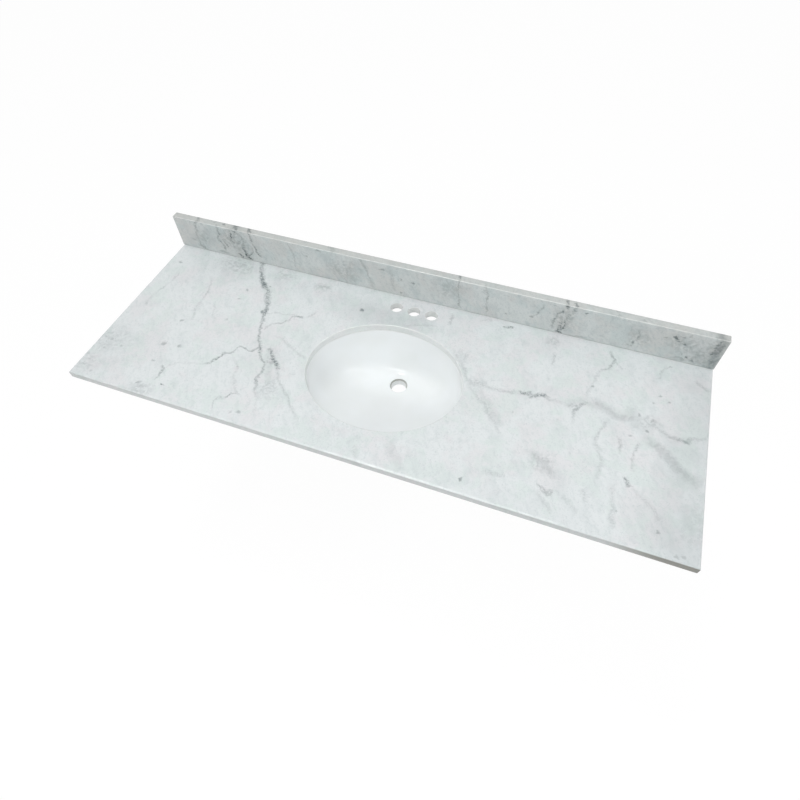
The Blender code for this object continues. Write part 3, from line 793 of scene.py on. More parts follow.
# %% Clip
CLIP_THICKNESS = 2.5 * MM
CLIP_HALF_WIDTH = 12.5 * MM
CLIP_TOE = -26 * MM                           # the end under the flange
CLIP_HEEL = 14 * MM                           # the end that stands up to the slab
CLIP_BEND = 3 * MM
CLIP_HOLE_RADIUS = 3.5 * MM
CLIP_HOLE_SIDES = 32
CLIP_CORNER = 4 * MM                          # rounding of the toe's two corners
INNER_BEND_STEPS, OUTER_BEND_STEPS = 3, 6
CORNER_STEPS = 6
WORN_EDGE = 0.3 * MM                          # where the press left no burr
WORN_LIMIT = math.radians(50)                 # gentler edges than this aren't worn
SAME = 0.01 * MM                              # coordinates nearer than this count as equal


def runs_along(edge, axis):
    """Whether an edge runs along one axis only."""
    step = edge.verts[1].co - edge.verts[0].co
    return all(abs(step[other]) < SAME for other in range(3) if other != axis)


def clip_mesh():
    """A strip bent up at its heel, rounded at its corners as a press leaves it, with a hole for the stud."""
    low, high = CLIP_LOW_Z, CLIP_LOW_Z + CLIP_THICKNESS
    outline = [(CLIP_TOE, low), (CLIP_TOE, high)]
    inner_bend = CLIP_BEND - CLIP_THICKNESS
    corner = CLIP_HEEL - CLIP_THICKNESS - inner_bend
    for sine, cosine in quarter_round(INNER_BEND_STEPS):
        outline.append((corner + inner_bend * sine, high + inner_bend * (1 - cosine)))
    outline += [(CLIP_HEEL - CLIP_THICKNESS, CLIP_HIGH_Z), (CLIP_HEEL, CLIP_HIGH_Z)]
    corner = CLIP_HEEL - CLIP_BEND
    for sine, cosine in reversed(quarter_round(OUTER_BEND_STEPS)):
        outline.append((corner + CLIP_BEND * sine, low + CLIP_BEND * (1 - cosine)))
    bm = bmesh.new()
    add_shell(bm, [[(x, y, z) for x, z in outline] for y in (-CLIP_HALF_WIDTH, CLIP_HALF_WIDTH)], capped=True)
    corners = [edge for edge in bm.edges if runs_along(edge, 2) and edge.verts[0].co.x < 0]
    bmesh.ops.bevel(bm, geom=corners, offset=CLIP_CORNER, segments=CORNER_STEPS, profile=0.5, affect="EDGES")
    strip = new_piece("clip", mesh_from(bm, "clip"))
    hole_rings = [circle(CLIP_HOLE_RADIUS, z, CLIP_HOLE_SIDES) for z in (low - MM, high + MM)]
    hole = capped_piece("clip_hole", hole_rings)
    settled(strip, [(hole, "DIFFERENCE")])
    edges = strip.modifiers.new("worn_edges", "BEVEL")
    edges.width = WORN_EDGE
    edges.segments = 2
    edges.limit_method = "ANGLE"
    edges.angle_limit = WORN_LIMIT
    settled(strip)
    mesh = strip.data
    bpy.data.objects.remove(strip, do_unlink=True)
    return mesh


# %% Wing nut
WING_SPAN = 14 * MM
WING_ROOT = 4.5 * MM
WING_HALF_THICKNESS = 1.5 * MM
HUB_RADIUS = 6 * MM
HUB_HEIGHT = 7 * MM
HUB_FOOT_RADIUS = 0.86 * HUB_RADIUS           # cast hubs taper, so that they leave the mould
HUB_EDGE, WING_EDGE = 0.6 * MM, 0.7 * MM      # how far their edges are rounded
HUB_SIDES = 40
EAR_TIP_RADIUS = 2.6 * MM
EAR_TIP_FROM, EAR_TIP_SWEEP = 35, 165         # degrees: where its round tip starts, and how far it goes round
EAR_STEPS = 16
EAR_ROOT_HIGH = ((0, -1.5), (2.5, -2.2))      # mm from the root and from the top, along the ear's upper edge
EAR_ROOT_LOW = ((2.2, -6.6), (0, -6.6))       # and along its lower edge


def ear_outline(side):
    """The outline of one wing, an ear that rises from the hub and ends in a round tip, as (x, z)."""
    upper, lower = [[(WING_ROOT + out * MM, NUT_HIGH_Z + up * MM) for out, up in edge]
                    for edge in (EAR_ROOT_HIGH, EAR_ROOT_LOW)]
    tip_x, tip_z = WING_SPAN - EAR_TIP_RADIUS, NUT_LOW_Z + EAR_TIP_RADIUS
    tip = []
    for step in range(EAR_STEPS + 1):
        turn = math.radians(EAR_TIP_FROM - EAR_TIP_SWEEP * step / EAR_STEPS)
        tip.append((tip_x + EAR_TIP_RADIUS * math.cos(turn), tip_z + EAR_TIP_RADIUS * math.sin(turn)))
    return [(side * x, z) for x, z in upper + tip + lower]


def wing_nut_mesh():
    """A cast hub with two wings, tapered for the mould and rounded along every edge."""
    top, low = NUT_HIGH_Z, NUT_HIGH_Z - HUB_HEIGHT
    levels = [(HUB_RADIUS - HUB_EDGE, top), (HUB_RADIUS, top - HUB_EDGE),
              (HUB_FOOT_RADIUS, low + HUB_EDGE), (HUB_FOOT_RADIUS - HUB_EDGE, low)]
    hub = capped_piece("wing_nut", [circle(radius, z, HUB_SIDES) for radius, z in levels])
    parts = []
    for side in (-1, 1):
        bm = bmesh.new()
        outline = ear_outline(side)
        sides = (-WING_HALF_THICKNESS, WING_HALF_THICKNESS)
        add_shell(bm, [[(x, y, z) for x, z in outline] for y in sides], capped=True)
        rims = [edge for edge in bm.edges if abs(edge.verts[0].co.y - edge.verts[1].co.y) < SAME]
        bmesh.ops.bevel(bm, geom=rims, offset=WING_EDGE, segments=3, profile=0.5, affect="EDGES")
        parts.append((new_piece("wing", mesh_from(bm, "wing")), "UNION"))
    bore = capped_piece("nut_bore", [circle(BORE_RADIUS, z, HUB_SIDES) for z in (top + MM, low - MM)])
    parts.append((bore, "DIFFERENCE"))
    settled(hub, parts)
    mesh = hub.data
    bpy.data.objects.remove(hub, do_unlink=True)
    return mesh


# %% Put the sets in place
HARDWARE = {
    "anchor": (insert_mesh(), "brass"),
    "stud": (stud_mesh(), "zinc"),
    "clip": (clip_mesh(), "zinc"),
    "washer": (washer_mesh(), "zinc"),
    "wing_nut": (wing_nut_mesh(), "zinc"),
}
hardware = []
for number, place in enumerate(clip_places(), start=1):
    for node, (mesh, slot) in HARDWARE.items():
        piece = new_piece(f"{node}_fine_{number}", mesh)
        piece.matrix_world = place
        hardware.append((piece, f"{node}_{number}", slot))
print("Hardware:", {name: len(mesh.polygons) for name, (mesh, _) in HARDWARE.items()}, "faces each")

# %% [markdown]
# ## Polished white marble
#
# Marble is limestone that has been cooked and squeezed until it became a mass of tiny calcite crystals. The
# ground is a white that is never even, because clay and graphite were smeared through it, and the same
# impurities gathered along old cracks and left grey veins. Polishing closes the surface to a soft mirror.
#
# A picture of stone would be the easy way, but it would show its repeats and be sharp at one distance only.
# Here the pattern is drawn by nodes in real millimetres instead. Noise at several scales gives the clouds,
# and each vein that the eye picks out has a route of its own. All of it is bent by the same noise, which is
# what makes a drawn line ragged and turns it into something that grew.

# %% Where the pattern lies in the stone
def stone_space(tree, origin, across, up, through):
    """Coordinates in mm: two in the face that is seen and one through the stone. The axes lean a little, so
    that a vein slants as it goes through the thickness."""
    place = add_node(tree, "TexCoord").outputs["Object"]
    place = add_node(tree, "VectorMath", {0: place, 1: origin}, operation="SUBTRACT")
    parts = {}
    for i, axis in enumerate((across, up, through)):
        part = add_node(tree, "VectorMath", {0: place, 1: Vector(axis) / MM}, operation="DOT_PRODUCT")
        parts[i] = part.outputs["Value"]
    return add_node(tree, "CombineXYZ", parts)


def bent(tree, space, bends):
    """Space bent by noise. Each bend is (size of the waves in mm, how far they push in mm)."""
    pushed = space
    for size, push in bends:
        waves = add_node(tree, "TexNoise", {"Vector": space, "Scale": 1 / size, "Detail": 1.0,
                                            "Roughness": 0.5})
        pushed = add_node(tree, "VectorMath", {0: waves.outputs["Color"], 1: (push, push, push), 2: pushed},
                          operation="MULTIPLY_ADD")
    half = sum(push for _, push in bends) / 2
    return add_node(tree, "VectorMath", {0: pushed, 1: (half, half, half)}, operation="SUBTRACT")


def flattened(tree, space):
    """(x, y, 1) of a space, so that one dot product can turn it, scale it and add an offset."""
    parts = add_node(tree, "SeparateXYZ", {0: space})
    return add_node(tree, "CombineXYZ", {0: parts.outputs["X"], 1: parts.outputs["Y"], 2: 1.0})


# %% A vein along a route
VEIN_CORE = 0.10                              # share of a vein's half width that is at full strength
VEIN_SPREAD = 2.1                             # a vein's soft edge goes this much further than its half width
VEIN_FADE = 0.04                              # share of its length over which each end fades
SPOT_CORE = 0.2                               # share of a spot's half sizes that is at full strength


def set_curve(curve_node, points):
    """Give a Float Curve node its points, each (x, y) from 0 to 1."""
    mapping = curve_node.mapping
    mapping.extend = "HORIZONTAL"
    curve = mapping.curves[0]
    for i, (x, y) in enumerate(points):
        if i < 2:
            curve.points[i].location = (x, y)
        else:
            curve.points.new(x, y)
    for point in curve.points:
        point.handle_type = "AUTO_CLAMPED"
    mapping.update()


def add_vein(tree, flat, route, half_width, so_far):
    """Darkness of one vein, joined to the darkness so far. The route's points are (x, y, darkness) in mm, and
    flat is (x, y, 1). One dot product gives how far along the vein a spot lies, from 0 to 1, and another how
    far to its side. A curve gives the vein's sideways swing for each place along it and a second curve its
    darkness there, so the vein is wherever the side is close to the swing."""
    start, end = Vector(route[0][:2]), Vector(route[-1][:2])
    length = (end - start).length
    along = (end - start) / length
    across = Vector((-along.y, along.x))

    def turned(axis, offset):
        weights = (axis.x / length, axis.y / length, offset - start.dot(axis) / length)
        return add_node(tree, "VectorMath", {0: flat, 1: weights}, operation="DOT_PRODUCT").outputs["Value"]

    spots = [Vector(point[:2]) - start for point in route]
    swing = [(spot.dot(along) / length, 0.5 + spot.dot(across) / length) for spot in spots]
    dark = [(min(max(x, VEIN_FADE), 1 - VEIN_FADE), point[2]) for (x, _), point in zip(swing, route)]
    forward = turned(along, 0.0)
    swings = add_node(tree, "FloatCurve", {"Value": forward})
    set_curve(swings, swing)
    darks = add_node(tree, "FloatCurve", {"Value": forward})
    set_curve(darks, [(0.0, 0.0)] + dark + [(1.0, 0.0)])
    gap = add_node(tree, "Math", {0: turned(across, 0.5), 1: swings}, operation="SUBTRACT")
    gap = add_node(tree, "Math", {0: gap}, operation="ABSOLUTE")
    line = add_node(tree, "MapRange", {
        "Value": gap, "From Min": half_width * VEIN_SPREAD / length,
        "From Max": half_width * VEIN_CORE / length,
        "To Min": 0.0, "To Max": darks}, interpolation_type="SMOOTHSTEP")
    return add_node(tree, "Math", {0: so_far, 1: line}, operation="MAXIMUM")


def add_spot(tree, flat, spot, half_sizes, darkness, so_far, texture=None):
    """A dark spot or cloud: an oval that fades outwards, broken up by a texture where one is given."""
    weights = Vector((1 / half_sizes[0], 1 / half_sizes[1], 0))
    middle = Vector((*spot, 0)) * weights
    scaled = add_node(tree, "VectorMath", {0: flat, 1: weights}, operation="MULTIPLY")
    away = add_node(tree, "VectorMath", {0: scaled, 1: middle}, operation="DISTANCE")
    shade = add_node(tree, "MapRange", {
        "Value": away.outputs["Value"], "From Min": 1.0, "From Max": SPOT_CORE,
        "To Min": 0.0, "To Max": darkness}, interpolation_type="SMOOTHSTEP")
    if texture is not None:
        shade = add_node(tree, "Math", {0: shade, 1: texture}, operation="MULTIPLY")
    return add_node(tree, "Math", {0: so_far, 1: shade}, operation="MAXIMUM")


# %% [markdown]
# The routes below are read from the photograph as pixels, and then carried along the camera's line of
# sight to the stone. That way they can be checked against the picture at any time, while the stone gets them
# in millimetres. The third number is how dark the vein is there. Specks are small dark spots, clouds are
# wider and broken up by a texture, and shades are the broadest, where the whole ground is a little darker.

# %% Marks carried to the stone
def routes_in_stone(veins, seen_at):
    """Veins whose routes are given in pixels, with the routes in mm."""
    return [(half_width, [(*seen_at((x, y)), darkness) for x, y, darkness in route])
            for half_width, route in veins]


def spots_in_stone(spots, seen_at):
    """Spots whose middles are given in pixels, with the middles in mm."""
    return [(seen_at(pixel), half_sizes, darkness) for pixel, half_sizes, darkness in spots]


# %% Veins of the slab: half width in mm, then the route
SLAB_VEINS = [
    (7.0, [(263.2, 256, 0.7), (262.8, 268, 0.75), (263, 276, 0.95), (264, 283, 1.0), (266.5, 291, 0.8),
           (268.2, 298, 0.75), (267.8, 305, 0.85), (265.5, 311, 0.95), (264.2, 318, 0.75),
           (263.5, 324, 0.7)]),
    (4.0, [(264.2, 320, 0.7), (261.7, 330, 0.75), (258.8, 337, 0.75), (259.2, 343, 0.7), (260, 348, 0.85),
           (258.5, 355, 0.75), (262.3, 364, 0.7), (260, 373, 0.65), (256.7, 378.5, 0.8), (255.8, 387, 0.65),
           (256.5, 397, 0.4), (254, 417, 0.25)]),
    (3.6, [(260, 347, 0.75), (253.3, 350, 0.7), (246.7, 347.5, 0.75), (240, 345.2, 0.7),
           (234.2, 350.8, 0.7), (225, 352.5, 0.7), (219.2, 356.7, 0.9), (213.3, 360, 0.75),
           (206.7, 363.3, 0.75), (201, 363, 0.4)]),
    (3.0, [(204, 363.5, 0.35), (194, 363.3, 0.3), (182, 363.5, 0.3), (170, 364.7, 0.35), (166, 366, 0.3)]),
    (3.4, [(163.5, 365, 0.6), (161.8, 370, 0.75), (159.5, 374, 0.7), (154.2, 378.3, 0.5), (151, 380, 0.3)]),
    (3.4, [(265, 329, 0.5), (272.5, 325, 0.45), (280, 322.5, 0.55), (288, 320, 0.55), (292.5, 317.5, 0.5),
           (300, 316.7, 0.85), (307, 317.5, 0.4)]),
    (2.8, [(267.5, 313.7, 0.4), (277, 313, 0.4), (286, 313.7, 0.4), (300, 316, 0.5)]),
    (3.2, [(308, 317, 0.4), (313, 315, 0.45), (318.7, 311, 0.4)]),
    (6.5, [(267.5, 348, 0.55), (272.5, 355, 0.9), (276.2, 364, 0.95), (279, 370, 0.5)]),
    (4.4, [(278, 370, 0.45), (281, 383, 0.45), (285, 395, 0.5), (291, 408, 0.45), (296, 421, 0.3)]),
    (4.0, [(277.5, 335, 0.35), (288, 344, 0.4), (298, 353, 0.4), (304, 358, 0.35)]),
    (3.0, [(234, 355, 0.25), (235.5, 367, 0.4), (234, 380, 0.3), (239.5, 395, 0.4)]),
    (3.0, [(243, 395, 0.3), (237, 394.7, 0.6), (231.7, 395, 0.8), (227, 397.3, 0.8), (222, 398.3, 0.45),
           (216.7, 397.7, 0.5), (212, 402, 0.5), (210.8, 408.3, 0.6), (210.5, 411, 0.3)]),
    (4.0, [(180, 271, 0.38), (173.3, 280, 0.36), (168.3, 283.7, 0.22), (161.7, 288.3, 0.5),
           (155, 291.7, 0.26), (150, 296.7, 0.38), (146.7, 302.5, 0.42), (145.8, 307, 0.32)]),
    (4.0, [(213.3, 275, 0.22), (206.7, 295, 0.5), (201.7, 300, 0.36), (196.7, 306.7, 0.36),
           (193.3, 316.7, 0.44), (189.2, 323.3, 0.25)]),
    (3.0, [(214.2, 303, 0.25), (214.5, 312, 0.35), (214.2, 321, 0.25)]),
    (3.0, [(315, 284, 0.35), (323.7, 286.5, 0.55), (332, 290, 0.35)]),
    (3.4, [(452, 312, 0.3), (452.5, 318.7, 0.5), (450, 325, 0.3)]),
    (3.4, [(400, 325, 0.35), (418, 325, 0.4), (437, 326.5, 0.35)]),
    (4.4, [(464, 348, 0.3), (462, 362, 0.4), (465, 377, 0.45), (473, 382, 0.45)]),
    (5.2, [(463, 378, 0.4), (475, 382, 0.5), (490, 387.5, 0.45), (507.5, 390.5, 0.5), (518, 391, 0.45)]),
    (5.2, [(517, 390, 0.6), (527.5, 392.5, 1.0), (532, 396, 0.9), (541, 396, 0.9), (551, 399.5, 0.6)]),
    (5.5, [(548, 400, 0.4), (560, 403, 0.4), (570, 405.5, 0.55), (579, 405, 0.6), (586, 402.5, 0.5)]),
    (9.0, [(560, 402, 0.08), (585, 402.5, 0.12), (597, 405, 0.2), (607, 410, 0.24), (618, 415.5, 0.24),
           (630, 418, 0.22), (641, 420, 0.2), (648, 427, 0.1)]),
    (16.0, [(622, 410, 0.08), (634, 418, 0.16), (646, 428, 0.16), (656, 434, 0.08)]),
    (5.0, [(646, 421, 0.4), (656.7, 429.2, 0.45), (671.7, 436.7, 0.5), (682.5, 440.5, 0.7), (690, 440.5, 0.5),
           (706.7, 438.5, 0.4)]),
    (10.0, [(641, 433, 0.1), (648.3, 440.8, 0.2), (658.3, 446.7, 0.27), (666.7, 455, 0.29),
            (673.3, 465, 0.32), (681.7, 473.3, 0.29), (693.3, 480, 0.2), (704.2, 483.3, 0.16)]),
    (3.4, [(660, 448, 0.3), (670, 459, 0.45), (678, 470.5, 0.55), (684, 475.5, 0.5), (692, 480, 0.35)]),
    (2.6, [(502, 326.6, 0.7), (508, 327.2, 0.95), (515, 328.4, 0.65)]),
    (3.0, [(481, 322, 0.35), (488, 320.5, 0.35), (496, 320, 0.25)]),
    (4.0, [(586, 401, 0.6), (579.2, 406.7, 0.76), (575.8, 410.8, 0.6), (573.3, 420, 0.36), (572, 426, 0.18)]),
    (4.3, [(610.8, 349, 0.34), (610.8, 356, 0.64), (613.3, 360.8, 0.77), (607.5, 366.7, 0.68),
           (598.3, 373.3, 0.42), (593.3, 383.3, 0.38), (588.3, 391.7, 0.38), (586.5, 399, 0.34)]),
    (3.2, [(613.3, 360.8, 0.5), (618, 365.5, 0.4), (623.3, 370, 0.4)]),
    (3.2, [(670, 365.8, 0.4), (661.7, 370, 0.45), (656.7, 380, 0.35)]),
    (5.2, [(611.7, 418.3, 0.28), (602.5, 425.8, 0.45), (597.5, 430.8, 0.48), (596.7, 436.7, 0.42),
           (598.3, 446.7, 0.4), (599.2, 456.7, 0.4), (598.3, 473.3, 0.4), (594, 482, 0.24)]),
    (4.3, [(612, 434, 0.3), (618, 436, 0.42), (620.8, 440.5, 0.55), (620.8, 447.5, 0.51), (618, 455, 0.26)]),
    (4.3, [(637.5, 441, 0.34), (635.5, 452, 0.55), (632.5, 463.3, 0.42), (630.8, 471.7, 0.34)]),
    (4.2, [(624.5, 476.5, 0.5), (626.2, 480, 0.8), (628, 486, 0.7), (628.5, 490, 0.45)]),
    (6.1, [(613.3, 485, 0.22), (611.7, 501.7, 0.38), (612.5, 523.3, 0.45), (614, 530, 0.22)]),
    (6.0, [(633.3, 488.3, 0.24), (643.3, 500, 0.36), (653.3, 511.7, 0.36), (658.3, 521.7, 0.32)]),
    (4.8, [(583.5, 486, 0.3), (586, 494, 0.41), (588, 502, 0.26)]),
    (5.5, [(470, 385, 0.3), (480, 401, 0.4), (490, 416, 0.45), (498, 427, 0.35)]),
    (4.6, [(484, 400, 0.3), (490, 412, 0.4), (495, 423, 0.35), (500, 435, 0.25)]),
    (4.6, [(537, 485.5, 0.45), (543, 488.5, 0.62), (548, 492.5, 0.6), (553, 490.5, 0.45)]),
    (4.4, [(541, 490, 0.45), (545, 493.5, 0.56), (550, 495, 0.45)]),
    (5.5, [(554, 490, 0.24), (562, 497, 0.32), (570, 505, 0.32), (577, 515, 0.24)]),
    (5.0, [(480, 470, 0.25), (491, 473, 0.4), (505, 476.5, 0.4)]),
    (9.0, [(390, 440, 0.08), (392, 452, 0.13), (400, 470, 0.08)]),
    (9.0, [(267, 350, 0.06), (268, 366, 0.14), (268, 384, 0.12), (266, 402, 0.05)]),
    (8.0, [(476, 384, 0.05), (484, 398, 0.10), (493, 413, 0.12), (502, 428, 0.06)]),
    (9.0, [(527, 448, 0.1), (535, 455, 0.26), (544, 463, 0.28), (552, 472, 0.22), (559, 482, 0.08)]),
    (6.0, [(352, 446, 0.3), (355, 457, 0.35), (357, 466, 0.25)]),
    (5.5, [(697, 381, 0.35), (702, 386.7, 0.5), (709, 393, 0.45)]),
    (5.0, [(536, 492, 0.25), (545, 503.3, 0.4), (550, 513.3, 0.3)]),
    (4.0, [(555.5, 353, 0.35), (555, 361, 0.5), (554, 366, 0.35)]),
]

# %% Spots of the slab: pixel, half width and half height in mm, darkness
SLAB_SPECKS = [
    ((264, 284), (9, 17), 0.8), ((262.5, 312), (7, 9), 0.75), ((268.5, 309), (6, 8), 0.6),
    ((270, 286), (5, 6), 0.5), ((181, 261.7), (9, 8), 0.5), ((180.8, 321.7), (8, 8), 0.45),
    ((165.4, 343.9), (9, 9), 0.45), ((178.8, 346.2), (8, 8), 0.42), ((153.4, 361), (8, 7), 0.38),
    ((161.7, 385.3), (7, 4), 0.9), ((139.4, 382.4), (7, 8), 0.45), ((114.3, 338.6), (8, 8), 0.4),
    ((135, 391.5), (22, 4), 0.3), ((361.5, 310.8), (8, 11), 0.75), ((237.2, 412.3), (9, 7), 0.36),
    ((247.6, 289.6), (6, 7), 0.42), ((238.6, 298), (6, 6), 0.32), ((225, 320), (6, 6), 0.28),
    ((88.5, 352.5), (8, 7), 0.3), ((83.5, 364.5), (7, 6), 0.35), ((120.5, 346), (7, 7), 0.32),
    ((105, 347.5), (8, 7), 0.28), ((91, 371.5), (7, 6), 0.28), ((128, 333), (6, 6), 0.22),
    ((230, 411.3), (5, 4), 0.22), ((235.8, 367.5), (4, 4), 0.35), ((459.5, 478.7), (5, 7), 0.65),
    ((659.7, 395.5), (5, 5), 0.42), ((668.7, 402.5), (5, 5), 0.42), ((653.8, 403), (5, 4), 0.32),
    ((653.3, 423.3), (6, 5), 0.45), ((646.7, 431.3), (6, 6), 0.6), ((631.7, 435.3), (6, 4), 0.35),
    ((640, 415.8), (6, 8), 0.45), ((658.7, 533.7), (5, 5), 0.5), ((615.8, 510), (4, 4), 0.35),
    ((684.2, 440.8), (10, 4), 0.6), ((592.2, 387.5), (5, 5), 0.5), ((300, 316.7), (9, 4), 0.6),
    ((585, 313.5), (5, 4), 0.3), ((677.5, 556.7), (6, 6), 0.3), ((684.5, 556.3), (6, 6), 0.3),
    ((670, 365.8), (6, 4), 0.35), ((631, 486), (5, 5), 0.2), ((512, 411), (5, 5), 0.2),
]
SLAB_CLOUDS = [
    ((237, 265), (90, 50), 0.36), ((285, 275), (60, 40), 0.26), ((110, 338), (95, 70), 0.26),
    ((84, 361), (70, 60), 0.26), ((322, 287), (38, 26), 0.32), ((271, 358), (24, 42), 0.45),
    ((268, 388), (38, 60), 0.32), ((543, 462), (40, 34), 0.4), ((554, 342), (30, 28), 0.35),
    ((560, 318), (26, 20), 0.3), ((140, 388), (50, 30), 0.35), ((462, 358), (26, 42), 0.3),
    ((478, 383), (45, 24), 0.35), ((648, 424), (45, 30), 0.35), ((700, 525), (60, 90), 0.15),
]
SLAB_SHADES = [
    ((90, 350), (300, 260), 0.14), ((205, 275), (220, 120), 0.08), ((700, 545), (230, 200), 0.29),
    ((715, 420), (180, 270), 0.27), ((385, 318), (240, 90), 0.27), ((255, 360), (150, 160), 0.07),
    ((555, 400), (160, 40), 0.05), ((430, 470), (260, 60), 0.06),
    ((320, 450), (150, 60), 0.08), ((580, 500), (120, 70), 0.09), ((545, 512), (330, 62), 0.11),
    ((110, 340), (110, 80), 0.09), ((237, 262), (100, 55), 0.10), ((688, 492), (140, 170), 0.25),
    ((692, 452), (120, 120), 0.26), ((690, 556), (70, 50), 0.16),
]
slab_veins = routes_in_stone(SLAB_VEINS, on_slab)
slab_specks, slab_clouds, slab_shades = [
    spots_in_stone(spots, on_slab) for spots in (SLAB_SPECKS, SLAB_CLOUDS, SLAB_SHADES)]
print("The slab's first vein starts at", [round(v) for v in slab_veins[0][1][0][:2]], "mm")

# %% Veins and spots of the splash
SPLASH_VEINS = [
    (4.4, [(196.5, 219, 0.6), (196.6, 224.3, 0.75), (196.6, 229.3, 0.65), (197.4, 233.6, 0.65),
           (198.8, 238.6, 0.5), (199.3, 242.5, 0.55), (200.5, 246.8, 0.7)]),
    (4.0, [(199, 244.5, 0.5), (202.5, 246.2, 0.7), (208, 248.6, 0.45)]),
    (4.0, [(214.5, 225, 0.5), (217, 231.4, 0.75), (218.8, 234.8, 0.85), (218.4, 237.9, 0.6),
           (219.9, 241, 0.85), (222, 243.6, 0.7), (224.1, 245.4, 0.75), (225.6, 247.9, 0.8),
           (226.8, 251, 0.7)]),
    (3.4, [(222.5, 239.5, 0.5), (224.1, 241.4, 0.8), (226.3, 243.9, 0.9), (229.2, 247.6, 0.85)]),
    (3.6, [(229.5, 229, 0.5), (231.3, 233.8, 0.85), (232.4, 237.3, 1.0), (231.5, 241, 0.6)]),
    (4.4, [(230.5, 230.4, 0.7), (234.9, 231.8, 0.9), (237.7, 233.9, 0.8), (239.9, 236.4, 0.7),
           (240.9, 238.8, 0.8), (242.4, 241.8, 0.75), (242.9, 245.7, 0.8), (244.5, 250, 0.9),
           (246.3, 253.2, 1.0), (248.4, 256.4, 1.0), (251.5, 258.7, 0.95), (256, 260, 0.6)]),
    (3.2, [(247.5, 255, 0.8), (250.4, 254.4, 0.9), (252, 251.6, 0.7), (251.3, 247.5, 0.5)]),
    (3.8, [(246.5, 231.5, 0.6), (250, 235.8, 0.9), (251.3, 240, 0.85), (252.4, 243.6, 0.7),
           (254.1, 247.1, 0.7), (256.3, 250.7, 0.85), (258.4, 253.2, 0.9), (261.5, 257.6, 0.6)]),
    (3.6, [(238, 253, 0.6), (241.3, 254.6, 0.95), (245.5, 257.4, 0.85)]),
    (3.0, [(233, 243.5, 0.5), (235.5, 247.5, 0.6), (239, 250.2, 0.55)]),
    (3.0, [(288, 243, 0.4), (291, 252, 0.5), (294, 258, 0.45), (296, 267, 0.4)]),
    (5.0, [(331, 259, 0.4), (337, 268, 0.5), (343, 278, 0.5), (350, 284, 0.4)]),
    (4.6, [(360.5, 259, 0.45), (363, 264, 0.54), (366.5, 272, 0.56), (370, 280, 0.5), (374, 288, 0.38)]),
    (3.4, [(443.5, 279, 0.4), (447, 285, 0.5), (449, 290, 0.35)]),
    (5.0, [(388, 270, 0.3), (392, 279, 0.45), (397, 292, 0.35)]),
    (2.8, [(459.5, 274, 0.5), (459, 279, 0.65), (457.5, 292, 0.6), (459, 306, 0.75), (460, 309, 0.6)]),
    (2.8, [(484.5, 287, 0.55), (486.5, 297, 0.6), (487, 311, 0.5)]),
    (3.0, [(544, 303, 0.5), (541, 306.3, 0.6), (538.4, 309.5, 0.45), (537, 314, 0.75), (534, 316.5, 0.4),
           (530.5, 319, 0.65)]),
    (4.2, [(562, 308, 0.5), (563.8, 311.7, 0.9), (560.7, 313.6, 0.85), (557.6, 314.6, 0.75),
           (556.4, 317.1, 0.75), (555.4, 320, 0.85), (554.2, 323, 0.75), (553.6, 329, 0.6)]),
    (4.0, [(577.5, 307.5, 0.6), (574.3, 311.1, 0.75), (571.4, 312.5, 0.65), (568.9, 314.6, 0.8),
           (567.9, 317.1, 0.7), (566.4, 320, 0.7), (565.4, 322.9, 0.8), (565, 325.4, 0.9), (562, 327.6, 1.0),
           (559.6, 329.8, 1.0), (558.4, 333, 1.0)]),
    (3.4, [(562.5, 320.5, 0.6), (561.1, 325, 0.9), (559.8, 329, 0.95)]),
    (3.6, [(569.5, 299, 0.5), (569.2, 303.5, 0.7), (568.8, 307, 0.9), (568.8, 311.5, 0.6)]),
    (3.0, [(638.8, 330.5, 0.6), (640.4, 334.2, 0.75), (639.4, 338.5, 0.8), (636.5, 341.5, 0.5)]),
    (3.6, [(626.5, 343.5, 0.5), (631.5, 345.2, 0.6), (634.5, 344, 0.4)]),
    (4.0, [(646.5, 333.5, 0.4), (647, 338, 0.6), (646, 343.5, 0.4)]),
    (10.0, [(731, 333, 0.35), (725.5, 342, 0.5), (719.5, 351, 0.6), (714.5, 359, 0.6), (709, 369, 0.55)]),
    (4.4, [(724, 341, 0.8), (719, 346, 0.9), (715.5, 351.5, 0.85), (712.2, 355, 1.0), (710, 358, 0.6)]),
    (5.0, [(701, 365.5, 0.5), (706, 367, 0.7), (712, 367.5, 0.8)]),
]
SPLASH_SPECKS = [
    ((507.5, 314), (5, 4), 0.5), ((537.1, 313.8), (5, 4), 0.5), ((531.8, 318.4), (6, 4), 0.5),
    ((587, 313.7), (6, 6), 0.65), ((556, 305.8), (14, 4), 0.3), ((572.5, 317.1), (7, 4), 0.35),
    ((568.8, 306.8), (7, 7), 0.9), ((559.3, 332), (11, 6), 0.95), ((577.6, 336.4), (26, 4), 0.35),
    ((634, 342.5), (6, 6), 0.7), ((667.5, 337.8), (7, 4), 0.4), ((677.5, 339.3), (7, 7), 0.9),
    ((684.8, 338.3), (8, 4), 0.5), ((693.3, 337.8), (7, 4), 0.35), ((680, 342), (6, 6), 0.65),
    ((685.4, 344.3), (7, 6), 0.8), ((691.3, 342.7), (7, 4), 0.3), ((686.7, 357.4), (7, 6), 0.8),
    ((690.8, 360.5), (6, 7), 0.6), ((680, 354.2), (5, 5), 0.35), ((678, 358.5), (26, 5), 0.3),
    ((459.3, 276.5), (6, 5), 0.65), ((232.4, 237), (6, 6), 0.9), ((228, 238.5), (7, 4), 0.5),
    ((401, 281), (5, 4), 0.4), ((195.6, 239.6), (7, 6), 0.35), ((225, 252), (26, 8), 0.35),
    ((411.8, 283.6), (7, 6), 0.55), ((402.7, 292.5), (6, 6), 0.5), ((381.5, 270.5), (12, 5), 0.4),
    ((316.5, 251), (14, 5), 0.45), ((306.5, 256), (6, 5), 0.35),
]
